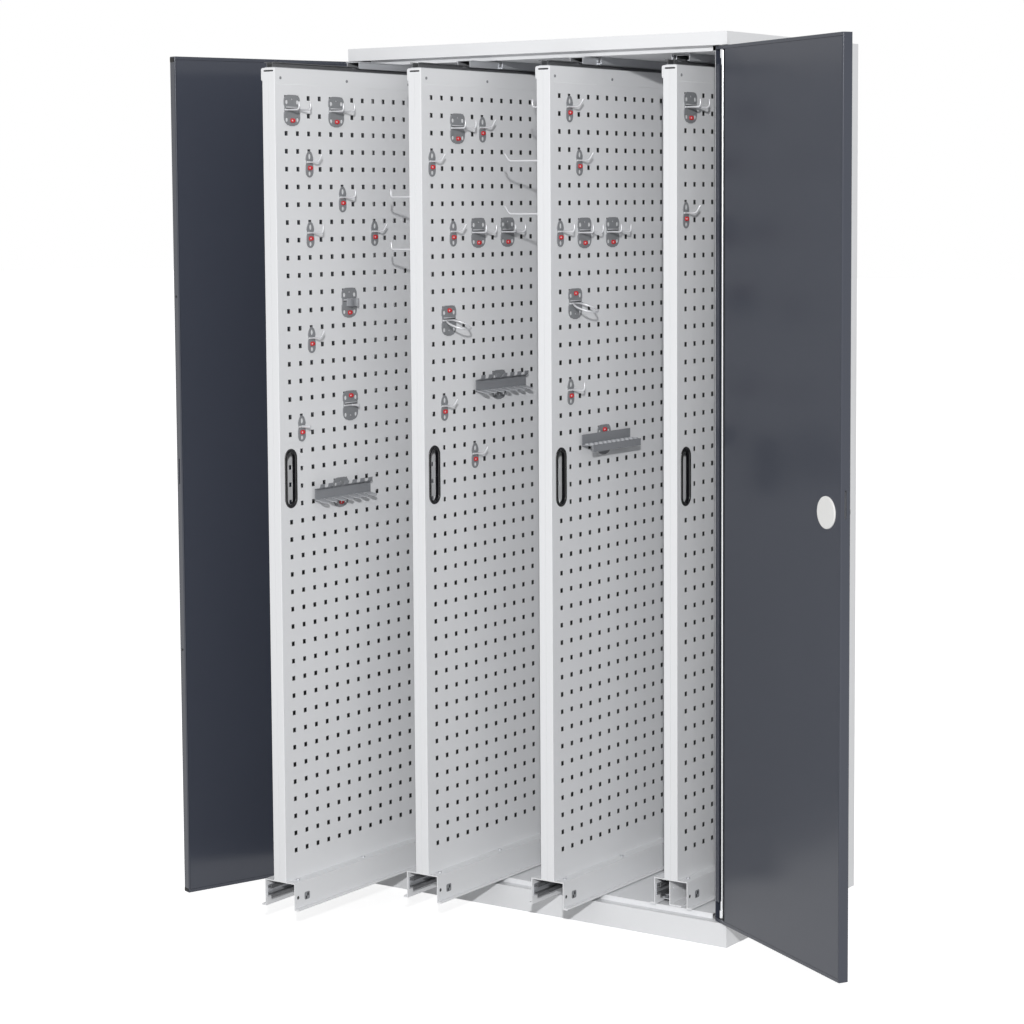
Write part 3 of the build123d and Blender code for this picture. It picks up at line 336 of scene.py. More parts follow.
def make_piece(name: str, surfaces: Sequence[Surface], finishes: Sequence[Material], body: str,
               stands_for: Sequence[str] = ()) -> bpy.types.Object:
    """Joins surfaces into one mesh in metres, closes their poles and hangs it on a body.

    Args:
        name: of the piece.
        surfaces: the piece's surfaces, in millimetres.
        finishes: materials, in the order of the surfaces' slots.
        body: the body that the piece moves with.
        stands_for: CAD nodes that the piece replaces.
    Returns:
        The piece.
    """
    counts = np.cumsum([0] + [len(s.points) for s in surfaces])
    points = np.concatenate([s.points for s in surfaces]) * MM
    quads = np.concatenate([s.quads + start for s, start in zip(surfaces, counts)])
    slots = np.concatenate([np.full(len(s.quads), int(s.slot)) for s in surfaces])
    mesh = bpy.data.meshes.new(name)
    mesh.from_pydata(points, [], quads.tolist())
    mesh.polygons.foreach_set("material_index", slots.astype(np.int32))
    for material in finishes:
        mesh.materials.append(material)
    shape = bmesh.new()
    shape.from_mesh(mesh)
    bmesh.ops.remove_doubles(shape, verts=shape.verts, dist=MERGE_DISTANCE)
    bmesh.ops.recalc_face_normals(shape, faces=shape.faces)
    shape.to_mesh(mesh)
    shape.free()
    mesh.polygons.foreach_set("use_smooth", np.ones(len(mesh.polygons), bool))
    mesh.set_sharp_from_angle(angle=math.radians(SHARP_ANGLE))
    piece = bpy.data.objects.new(name, mesh)
    bpy.context.scene.collection.objects.link(piece)
    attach(piece, body)
    if stands_for:
        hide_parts(*stands_for)
    LOG.info("%s: %d faces on %s", name, len(mesh.polygons), body)
    return piece


# ---------------------------------------------------------------- finishes
def linear(colour: Numbers) -> Tuple[float, float, float, float]:
    """A screen colour as the light it stands for: ((c + 0.055) / 1.055)^2.4, or c / 12.92 where it is dark.

    Args:
        colour: red, green and blue, from 0 to 255.
    Returns:
        Red, green, blue and a full alpha, from 0 to 1.
    """
    share = np.asarray(colour, float) / 255.0
    light = np.where(share <= 0.04045, share / 12.92, ((share + 0.055) / 1.055) ** 2.4)
    return (*(float(v) for v in light), 1.0)


def feed(node: bpy.types.Node, inputs: Dict[Any, Any]) -> None:
    """Sets a node's inputs: each follows a socket or takes a plain value.

    Args:
        node: the node, in its tree.
        inputs: a socket or a value for each input, by label or number.
    """
    for label, value in inputs.items():
        if isinstance(value, Socket):
            node.id_data.links.new(value, node.inputs[label])
        else:
            node.inputs[label].default_value = value


def add_node(tree: Tree, kind: str, inputs: Dict[Any, Any], output: Any = 0, **settings: Any) -> Socket:
    """Adds a shader node.

    Args:
        tree: where it goes.
        kind: its type, without the ShaderNode in front.
        inputs: what its inputs follow or take, by label or number.
        output: the output wanted, by label or number.
        settings: its own settings, such as its operation.
    Returns:
        The socket of that output.
    """
    node = tree.nodes.new("ShaderNode" + kind)
    for name, value in settings.items():
        setattr(node, name, value)
    feed(node, inputs)
    return node.outputs[output]


def reckon(tree: Tree, operation: str, *given: Any, clamp: bool = False) -> Socket:
    """Adds a Math node with its inputs in order; clamp keeps its result from 0 to 1."""
    return add_node(tree, "Math", dict(enumerate(given)), operation=operation, use_clamp=clamp)


def multiplied(tree: Tree, factor: Any, first: Any, second: Any) -> Socket:
    """Adds a Mix node that multiplies one colour by another, as far as factor says."""
    return add_node(tree, "Mix", {"Factor": factor, "A": first, "B": second}, "Result",
                    data_type="RGBA", blend_type="MULTIPLY")


def ranged(tree: Tree, share: Socket, low: float, high: float) -> Socket:
    """Adds a Map Range node, which turns 0 into low and 1 into high."""
    return add_node(tree, "MapRange", {"Value": share, "To Min": low, "To Max": high}, "Result")


def new_group(name: str, inputs: Sequence[str], kind: str, outputs: Sequence[str]) -> Tuple[Tree, Any, Any]:
    """A shader group that has its sockets and nothing between them.

    Args:
        name: of the group.
        inputs: labels of its inputs.
        kind: socket type of every input.
        outputs: labels of its outputs, which are numbers.
    Returns:
        The group, the sockets that bring its inputs and the node that takes its outputs.
    """
    tree = bpy.data.node_groups.new(name, "ShaderNodeTree")
    for label in inputs:
        tree.interface.new_socket(label, in_out="INPUT", socket_type=kind)
    for label in outputs:
        tree.interface.new_socket(label, in_out="OUTPUT", socket_type="NodeSocketFloat")
    return tree, tree.nodes.new("NodeGroupInput").outputs, tree.nodes.new("NodeGroupOutput")


class Texture(Enum):
    """How a finish looks close to."""

    POWDER = "powder grain"
    ROLLED = "rolled streaks"
    MOULDED = "moulded skin"


def texture_group(kind: Texture) -> Tree:
    """The shared shader group of one texture, made once.

    Its inputs are Size, in repeats per metre, and Spread. Its outputs are Height, a fine noise;
    Tone, 1 + (that noise + a broad noise - 1) * Spread, for the colour; and Wear, the broad noise,
    for the roughness.

    Args:
        kind: the texture. A rolled one is drawn out 50 times along Y.
    Returns:
        The group.
    """
    tree = bpy.data.node_groups.get(kind.value)
    if tree:
        return tree
    tree, given, made = new_group(kind.value, ("Size", "Spread"), "NodeSocketFloat",
                                  ("Height", "Tone", "Wear"))
    place = add_node(tree, "TexCoord", {}, "Object")
    stretch = (1.0, 0.02, 1.0) if kind is Texture.ROLLED else (1.0, 1.0, 1.0)
    drawn = add_node(tree, "Mapping", {"Vector": place, "Scale": stretch})
    grain = add_node(tree, "TexNoise", {"Vector": drawn, "Scale": given["Size"], "Detail": 2.0}, "Fac")
    cloud = add_node(tree, "TexNoise", {"Vector": place, "Scale": 3.5, "Detail": 3.0}, "Fac")
    centred = reckon(tree, "SUBTRACT", reckon(tree, "ADD", grain, cloud), 1.0)
    tone = reckon(tree, "MULTIPLY_ADD", centred, given["Spread"], 1.0)
    feed(made, {"Height": grain, "Tone": tone, "Wear": cloud})
    return tree


def inside_group() -> Tree:
    """The shared shader group that finds the faces inside a box, for painted shade, made once.

    Its inputs are Middle and Half, a box in metres; its output, Inside, is 1 where every part of
    |place - Middle| / Half is under 1.

    Returns:
        The group.
    """
    name = "inside a box"
    tree = bpy.data.node_groups.get(name)
    if tree:
        return tree
    tree, given, made = new_group(name, ("Middle", "Half"), "NodeSocketVector", ("Inside",))
    place = add_node(tree, "TexCoord", {}, "Object")
    away = add_node(tree, "VectorMath", {0: place, 1: given["Middle"]}, operation="SUBTRACT")
    share = add_node(tree, "VectorMath", {0: away, 1: given["Half"]}, operation="DIVIDE")
    size = add_node(tree, "VectorMath", {0: share}, operation="ABSOLUTE")
    x, y, z = add_node(tree, "SeparateXYZ", {0: size}).node.outputs
    largest = reckon(tree, "MAXIMUM", reckon(tree, "MAXIMUM", x, y), z)
    feed(made, {"Inside": reckon(tree, "LESS_THAN", largest, 1.0)})
    return tree


@dataclass(frozen=True)
class Finish:
    """A painted, plated or moulded finish, with the grain that it has close to."""

    name: str
    colour: Tuple[int, int, int]
    roughness: float
    texture: Texture
    grain_size: float = 900.0
    relief: float = 2e-5
    spread: float = 0.03
    metallic: float = 0.0
    gloss: float = 0.5
    coat: float = 0.0
    coat_roughness: float = 0.12
    wear: float = 0.04

    def material(self, name: str = "") -> Material:
        """The finish as a material, made once: its colour times Tone, its roughness give or take wear.

        Args:
            name: of the material, where it isn't the finish's own.
        Returns:
            The material.
        """
        name = name or self.name
        material = bpy.data.materials.get(name)
        if material:
            return material
        material = bpy.data.materials.new(name)
        material.use_nodes = True
        tree = material.node_tree
        look = add_node(tree, "Group", {"Size": self.grain_size, "Spread": self.spread},
                        node_tree=texture_group(self.texture)).node.outputs
        relief = {"Distance": self.relief, "Height": look["Height"]}
        feed(tree.nodes["Principled BSDF"], {
            "Base Color": multiplied(tree, 1.0, linear(self.colour), look["Tone"]),
            "Roughness": ranged(tree, look["Wear"], self.roughness - self.wear, self.roughness + self.wear),
            "Normal": add_node(tree, "Bump", relief),
            "Metallic": self.metallic,
            "Specular IOR Level": self.gloss,
            "Coat Weight": self.coat,
            "Coat Roughness": self.coat_roughness,
        })
        return material

    def with_painted_shade(self, name: str, shaded: Sequence[Block], kept: Sequence[Block], share: float) -> Material:
        """The finish with painted shade: darker faces inside some boxes, apart from those inside others.

        Args:
            name: added to the finish's name.
            shaded, kept: middle and half size of each box, in millimetres.
            share: how much of the colour a shaded face keeps.
        Returns:
            The material.
        """
        material = self.material(f"{self.name}_{name}")
        tree = material.node_tree
        shader = tree.nodes["Principled BSDF"]
        painted = shader.inputs["Base Color"].links[0].from_socket
        # Painted shade: a mask of the faces inside the shaded boxes and outside the kept ones, which darkens
        # their colour.
        inside: Any = 0.0
        for operation, blocks in (("ADD", shaded), ("SUBTRACT", kept)):
            for middle, half in blocks:
                sides = {"Middle": [value * MM for value in middle], "Half": [value * MM for value in half]}
                found = add_node(tree, "Group", sides, node_tree=inside_group())
                inside = reckon(tree, operation, inside, found, clamp=True)
        feed(shader, {"Base Color": multiplied(tree, inside, painted, (share, share, share, 1.0))})
        return material


@dataclass(frozen=True)
class Finishes:
    """Every finish on the cabinet."""

    carcass: Finish = Finish("light_grey_powder_coat", (227, 228, 230), 0.45, Texture.POWDER)
    sheet: Finish = Finish("pull_out_powder_coat", (224, 225, 227), 0.48, Texture.POWDER)
    door: Finish = Finish("anthracite_gloss_coat", (56, 60, 71), 0.2, Texture.POWDER, 700.0, 4e-6, 0.06)
    zinc: Finish = Finish("zinc_plate", (188, 190, 194), 0.3, Texture.ROLLED, 700.0, 1e-5, 0.12, 0.5)
    wire: Finish = Finish("bright_zinc_wire", (212, 213, 216), 0.3, Texture.ROLLED, 1200.0, 4e-6, 0.05, 0.3)
    rod: Finish = Finish("drawn_rod", (226, 227, 229), 0.22, Texture.ROLLED, 900.0, 4e-6, 0.06, 0.95)
    plate: Finish = Finish("grey_hook_coating", (132, 134, 137), 0.5, Texture.POWDER, 1400.0, 1e-5, 0.05)
    rack: Finish = Finish("grey_rack_coating", (134, 136, 140), 0.5, Texture.POWDER, 1400.0, 1e-5, 0.05)
    # A lighter copy of the rack's grey: painted highlight on the comb's fingers, the rims of the shelf's
    # holes and the shelf's wired edges.
    finger: Finish = Finish("rack_highlight_coating", (172, 174, 178), 0.45, Texture.POWDER, 1400.0, 1e-5, 0.05)
    black: Finish = Finish("black_grip_plastic", (13, 13, 17), 0.25, Texture.MOULDED, 2500.0, 4e-6, 0.1,
                           coat=0.3)
    rubber: Finish = Finish("black_rubber", (13, 13, 14), 0.7, Texture.MOULDED, 1800.0, 1e-5, 0.1)
    white: Finish = Finish("white_slide_plastic", (232, 232, 230), 0.4, Texture.MOULDED, 1500.0, 5e-6, 0.03)
    red: Finish = Finish("red_lock_plastic", (206, 36, 44), 0.3, Texture.MOULDED, 1500.0, 5e-6, 0.05,
                         coat=0.2)
    # Painted shade for the slot in each post's top, the notches in the plate on the channel's wall and the
    # slit across the wide hook plates; it also colours the screw on the channel's wall.
    dark: Finish = Finish("dark_screw_and_recess_shade", (40, 41, 44), 0.6, Texture.POWDER)


FINISHES = Finishes()


def dress(nodes: Sequence[str], material: Material) -> None:
    """Gives CAD nodes a material in their own slots.

    Args:
        nodes: names of the CAD nodes.
        material: what they get.
    """
    for name in nodes:
        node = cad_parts[name]
        node.data.materials.clear()
        node.data.materials.append(material)
    LOG.info("%s on %s", material.name, ", ".join(nodes))


# ---------------------------------------------------------------- sub-assemblies
@dataclass
class Carcass:
    """The fixed box: top, walls, back, plinth, floor, slides' fixed members, feet and bushes."""

    painted: Tuple[str, ...] = ("top_panel", "ceiling_panel", "floor_panel", "plinth_frame",
                                "left_side_wall", "right_side_wall", "back_panel", "floor_brackets")
    plated: Tuple[str, ...] = ("top_outer_slides", "bottom_outer_slides", "levelling_feet")
    moulded: Tuple[str, ...] = ("hinge_bushes",)

    def build(self) -> None:
        """Dresses the CAD nodes."""
        dress(self.painted, FINISHES.carcass.material())
        dress(self.plated, FINISHES.zinc.material())
        dress(self.moulded, FINISHES.white.material())


@dataclass
class Doors:
    """Both leaves with their rods, the left one's buffers and the right one's lock."""

    sides: Tuple[str, ...] = ("left", "right")
    plated: Tuple[str, ...] = ("lock_case", "lock_hook")

    def build(self) -> None:
        """Dresses the CAD nodes."""
        for side in self.sides:
            dress([f"{side}_door_shell", f"{side}_door_inner_panel"], FINISHES.door.material())
            dress([f"{side}_hinge_rod"], FINISHES.rod.material())
        dress(["left_door_buffers"], FINISHES.rubber.material())
        dress(self.plated, FINISHES.zinc.material())
        dress(["lock_cover"], FINISHES.white.material())
        dress(["lock_handle"], FINISHES.black.material())


class Kind(Enum):
    """What a plate on a perforated sheet carries."""

    WIDE = "two upturned prongs"
    SLANT = "one prong with a slanted end"
    STRAIGHT = "one prong with an upright end"
    SHORT = "a short stub"
    PIN = "a pin"
    CLIP = "a pair of jaws"
    RING = "a ring"
    COMB = "a rack of fingers"
    SHELF = "a shelf with holes"

    @property
    def two_columns(self) -> bool:
        """Whether its plate spans two columns of holes."""
        return self not in (Kind.SLANT, Kind.STRAIGHT, Kind.SHORT)

    @property
    def lock_on_top(self) -> bool:
        """Whether its lock sits in the upper half of its plate."""
        return self in (Kind.PIN, Kind.RING, Kind.SHELF)


class HookFinish(IntEnum):
    """Which finish of a piece of hooks a surface takes."""

    PLATE, WIRE, RACK, SLIT, FINGER = range(5)


class LockFinish(IntEnum):
    """Which finish of a piece of locks a surface takes."""

    RED, PIN, GREY = range(3)


class RecessFinish(IntEnum):
    """Which finish of a piece of recesses a surface takes."""

    DARK, PLATE = range(2)


@dataclass(frozen=True)
class PlateShape:
    """The edge of a hook's plate, with heights from its upper holes, and where its wire and lock lie.

    A curve is the size of an end's rounding, and the waist is how far each side draws in.
    """

    top: float
    bottom: float
    half_width: float
    top_curve: float
    bottom_curve: float
    waist: float
    waist_at: float
    waist_height: float
    wire_at: float
    half_wire: float
    lock_at: float
    lock_offset: float


WIDE_PLATE = PlateShape(5.4, -58.6, 26.5, 12.0, 17.0, 2.0, -24.0, 7.0, -26.0, 25.5, -26.6, 22.0)
NARROW_PLATE = PlateShape(0.8, -55.5, 12.5, 22.0, 12.5, 2.2, -23.0, 5.0, -22.8, 11.5, -35.2, 0.0)


@dataclass(frozen=True)
class Place:
    """A hook's kind, column, upper row of holes, reach, side (1 right, -1 left) and its lock's finish."""

    kind: Kind
    column: int
    row: int
    reach: float = 37.0
    side: int = 1
    lock: LockFinish = LockFinish.RED


@dataclass
class Hook:
    """One hook in its own place: x out from the sheet, y along it and z from its upper holes."""

    place: Place
    thickness: float = 2.0
    wire_radius: float = 2.0
    wire_start: float = 1.5
    cross_wire_at: float = 3.5
    prong_spacing: float = 39.0
    upturn: float = 16.6
    slant: float = 11.0
    bend: float = 7.0
    pin_offset: float = 4.0
    ring_start: float = 3.0
    ring_radius: float = 27.0
    ring_droop: float = 20.0
    rack_half: float = 99.0
    teeth: int = 7
    shelf_holes: int = 11
    hole_radius: float = 3.6

    @property
    def shape(self) -> PlateShape:
        """The shape of its plate."""
        return WIDE_PLATE if self.place.kind.two_columns else NARROW_PLATE

    @property
    def face(self) -> Pair:
        """X of the plate's back and front."""
        return (0.05, self.thickness)

    def outline(self) -> Points:
        """The plate's edge: half width against height.

        The width narrows at both ends by c * (1 - sqrt(1 - d^2)), as an ellipse does, and at the
        waist by w * exp(-((z - waist) / height)^4).

        Returns:
            Y and Z round the plate.
        """
        shape = self.shape
        rise = 0.5 - 0.5 * np.cos(np.linspace(0, np.pi, 60))
        z = shape.bottom + (shape.top - shape.bottom) * rise
        width = np.full_like(z, shape.half_width)
        for edge, curve, sign in ((shape.top, shape.top_curve, 1), (shape.bottom, shape.bottom_curve, -1)):
            depth = np.clip(1 - (edge - z) * sign / curve, 0, 1)
            width = width - min(curve, shape.half_width) * (1 - np.sqrt(1 - depth**2))
        width = width - shape.waist * np.exp(-(((z - shape.waist_at) / shape.waist_height) ** 4))
        width = np.maximum(width, 0.05)
        return np.concatenate([np.stack([width, z], axis=1), np.stack([-width, z], axis=1)[::-1]])

    def narrow_plate(self) -> List[Surface]:
        """A plate over one column of holes: two patches, one above the other.

        Returns:
            The patches, each with an oval at a claw.
        """
        edge, side, split = self.outline(), 14.0, -23.0
        rows = ((split, 4.0, -10.5, (4.2, 6.2)), (-57.0, split, -47.0, (4.2, 5.0)))
        return [pierced_cell((-side, low), (side, high), edge, oval, (0.0, z), self.face)
                for low, high, z, oval in rows]

    def wide_plate(self) -> List[Surface]:
        """A plate over two columns: two rows of three patches, with a band, a rib and a slit between, the
        slit as a thin dark strip of painted shade.

        Returns:
            Its surfaces, with ovals at the claws and a small round hole between each two.
        """
        edge, split, side, column, small = self.outline(), 9.0, 27.5, 18.0, (2.2, 2.2)
        cells = []
        for low, high, z, oval, spot in ((-17.0, 6.0, -9.2, (4.4, 5.2), -3.2),
                                         (-60.0, -30.0, -46.8, (4.2, 5.0), -48.6)):
            for left, right, middle in ((-side, -split, -column), (split, side, column)):
                cells.append(pierced_cell((left, low), (right, high), edge, oval, (middle, z), self.face))
            cells.append(pierced_cell((-split, low), (split, high), edge, small, (0.0, spot), self.face))
        band, slit = self.thickness - 1.9, self.thickness + 0.06
        cells.append(strip([(band, -17.0), (band, -30.0)], [24.6, 24.6], 1.9))
        # The rib is a thin bright wire that also serves as a painted highlight along the plate's step.
        rib = [(2.1, y, -20.4) for y in (-20.5, 0.0, 20.5)]
        cells.append(wire(rib, 1.1, (0, 0, 1), HookFinish.WIRE))
        # Painted shade: a thin dark strip laid on the plate for the slit.
        cells.append(strip([(slit, -24.0), (slit, -22.4)], [21.0, 21.0], 0.3, slot=HookFinish.SLIT))
        return cells

    def plate(self) -> List[Surface]:
        """The plate's surfaces."""
        return self.wide_plate() if self.place.kind.two_columns else self.narrow_plate()

    def claws(self) -> List[Surface]:
        """The bent tabs behind the plate that sit in the square holes.

        Returns:
            Two tabs for each column that the plate spans.
        """
        half = HOLE_PITCH / 2
        columns = (-half, half) if self.place.kind.two_columns else (0.0,)
        return [soft_block((-4.4, y - 2.6, z - 4.4), (0.4, y + 2.6, z + 1.2), 8.0)
                for y in columns for z in (0.0, -HOLE_PITCH)]

    def cross_wire(self) -> Surface:
        """The wire that lies across the plate.

        Returns:
            The wire.
        """
        half = self.shape.half_wire
        line = [(self.cross_wire_at, y, self.shape.wire_at) for y in (-half, 0.0, half)]
        return wire(line, self.wire_radius, (0, 0, 1), HookFinish.WIRE)

    def prong(self, y: float) -> Surface:
        """A prong from the plate with its end turned up, upright or on a slant.

        Args:
            y: how far it stands from the plate's middle.
        Returns:
            The prong.
        """
        z, reach = self.shape.wire_at, self.place.reach
        corner = reach - self.slant if self.place.kind is Kind.SLANT else reach
        corners = [(self.wire_start, y, z), (corner, y, z), (reach, y, z + self.upturn)]
        return wire(bent_path(corners, self.bend), self.wire_radius, (0, 1, 0), HookFinish.WIRE)

    def peg(self, profile: Pairs, y: float) -> Surface:
        """A turned peg that points outward, y from the plate's middle."""
        return turned(profile, (self.wire_start, y, self.shape.wire_at), (1, 0, 0), HookFinish.WIRE)

    def ring(self) -> Surface:
        """A wire ring that hangs below level: a circle in X and Y, tilted about its root.

        Returns:
            The ring.
        """
        angle = np.linspace(0, 2 * np.pi, 56, endpoint=False)
        droop = math.radians(self.ring_droop)
        out = self.ring_radius * (1 + np.cos(angle))
        loop = np.stack([self.ring_start + out * math.cos(droop), self.ring_radius * np.sin(angle),
                         self.shape.wire_at - out * math.sin(droop)], axis=1)
        upright = (math.sin(droop), 0, math.cos(droop))
        return wire(loop, self.wire_radius, upright, HookFinish.WIRE, 12, closed=True)

    def clip(self) -> List[Surface]:
        """Two sprung jaws on a base: their gap narrows by half a sine wave and widens at the tips.

        Returns:
            The base and the jaws.
        """
        start, end, stations, tip = 1.6, 20.0, 14, 17.0
        out = np.linspace(start, end, stations)
        gap = 9.0 - 2.6 * np.sin((out - start) / (end - start) * np.pi) + 1.2 * (out > tip)
        pieces = [strip([(2.0, -34.5), (2.0, -17.5)], [9.5, 9.5], -1.8, slot=HookFinish.WIRE)]
        for sign in (-1, 1):
            blade = strip([(x, 0.0) for x in out], [8.6] * stations, 1.6)
            points = blade.points[:, [0, 2, 1]]
            points[:, 1] = sign * (np.interp(points[:, 0], out, gap) + points[:, 1])
            points[:, 2] += self.shape.wire_at
            pieces.append(Surface(points, blade.quads, HookFinish.RACK))
        return pieces

    def comb(self) -> List[Surface]:
        """A web with teeth bent up from its top and fingers with rounded tips sloping down below.

        A finger falls as t^1.3 along its length, and its half width is a quarter ellipse at the tip.

        Returns:
            The block on the plate, the web, the teeth and the fingers.
        """
        z, half, pitch = self.shape.wire_at, self.rack_half, 2 * self.rack_half / self.teeth
        web = [(8.0, z - 10), (8.0, z + 2.5), (8.0, z + 15)]
        pieces = [soft_block((1.6, -17.5, z - 7.5), (7.2, 17.5, z + 7.5), 8.0, HookFinish.RACK),
                  strip(web, [half] * 3, 1.5, slot=HookFinish.RACK)]
        tooth = bent_path([(7.9, z + 14.6), (22.6, z + 17.4), (24.2, z + 26.2)], 4.0)
        t = np.linspace(0, 1, 9)
        finger = np.stack([7.9 + 27.6 * t, z - 9.4 - 6.0 * t**1.3], axis=1)
        tip = np.sqrt(np.clip(1 - np.clip((t - 0.72) / 0.285, 0, 1) ** 2, 0.02, 1))
        tooth_half, finger_half, finger_at = 0.275 * pitch, 0.38 * pitch, 0.41 * pitch
        for index in range(self.teeth):
            y = -half + index * pitch
            pieces.append(strip(tooth, [tooth_half] * len(tooth), 1.4, y + tooth_half, HookFinish.RACK))
            pieces.append(strip(finger, finger_half * tip, 1.4, y + finger_at, HookFinish.FINGER))
        return pieces

    def shelf(self) -> List[Surface]:
        """A shelf of pierced patches in two rows, a web behind it, a lip in front and wired ends.

        Returns:
            The block on the plate, the patches with the raised rims of their holes, and the edges.
        """
        z, half, pitch, metal = self.shape.wire_at, self.rack_half, 2 * self.rack_half / self.shelf_holes, 1.5
        top, hole = z - 5.0, (self.hole_radius, self.hole_radius)
        pieces = [soft_block((1.6, -17.5, z - 5.5), (7.2, 17.5, z + 9.5), 8.0, HookFinish.RACK)]
        for index in range(self.shelf_holes):
            y = -half + index * pitch
            middle = y + pitch / 2
            for back, x, front in ((7.6, 15.0, 21.0), (21.0, 27.0, 34.9)):
                cell = pierced_cell((back, y), (front, y + pitch), None, hole, (x, middle), (0.0, metal))
                points = cell.points[:, [1, 2, 0]] + np.array([0, 0, top - metal])
                pieces.append(Surface(points, cell.quads, HookFinish.RACK))
                # The rims take the lighter grey as painted highlight, for the lit rims of the holes.
                pieces.append(turned(HOLE_RIM, (x, middle, top), (0, 0, 1), HookFinish.FINGER, 14))
        for x, low, high in ((8.0, top - 1.4, z + 17), (36.0, top - 14.9, top)):
            pieces.append(strip([(x, low), (x, high)], [half, half], 1.4, slot=HookFinish.RACK))
        for y in (-half + 0.9, half - 0.9):
            edge = bent_path([(8.6, y, top - 0.7), (35.2, y, top - 0.7), (35.2, y, top - 14.2)], 5.0)
            pieces.append(wire(edge, 0.95, (0, 1, 0), HookFinish.FINGER, 8))
        return pieces

    def fittings(self) -> List[Surface]:
        """What stands out from the plate, by kind.

        Returns:
            Its surfaces, with the wire across the plate where there is one.
        """
        kind = self.place.kind
        racks = {Kind.CLIP: self.clip, Kind.COMB: self.comb, Kind.SHELF: self.shelf}
        if kind in racks:
            return racks[kind]()
        if kind is Kind.WIDE:
            carried = [self.prong(sign * self.prong_spacing / 2) for sign in (-1, 1)]
        elif kind is Kind.SHORT:
            carried = [self.peg(STUB, 0.0)]
        elif kind is Kind.PIN:
            carried = [self.peg(PEG, self.pin_offset)]
        elif kind is Kind.RING:
            carried = [self.ring()]
        else:
            carried = [self.prong(0.0)]
        return [self.cross_wire(), *carried]

    def lock(self) -> List[Surface]:
        """The block that keeps the plate in its holes.

        Returns:
            The block, its round boss and its pin.
        """
        shape, finish = self.shape, self.place.lock
        z = shape.lock_at + (shape.lock_offset if self.place.kind.lock_on_top else -shape.lock_offset)
        return [soft_block((2.0, -6.9, z - 4.6), (5.0, 6.9, z + 4.6), 4.0, finish),
                turned(LOCK_BOSS, (4.0, 2.6, z), (1, 0, 0), finish),
                turned(LOCK_PIN, (4.0, -3.0, z), (1, 0, 0), LockFinish.PIN, 14)]


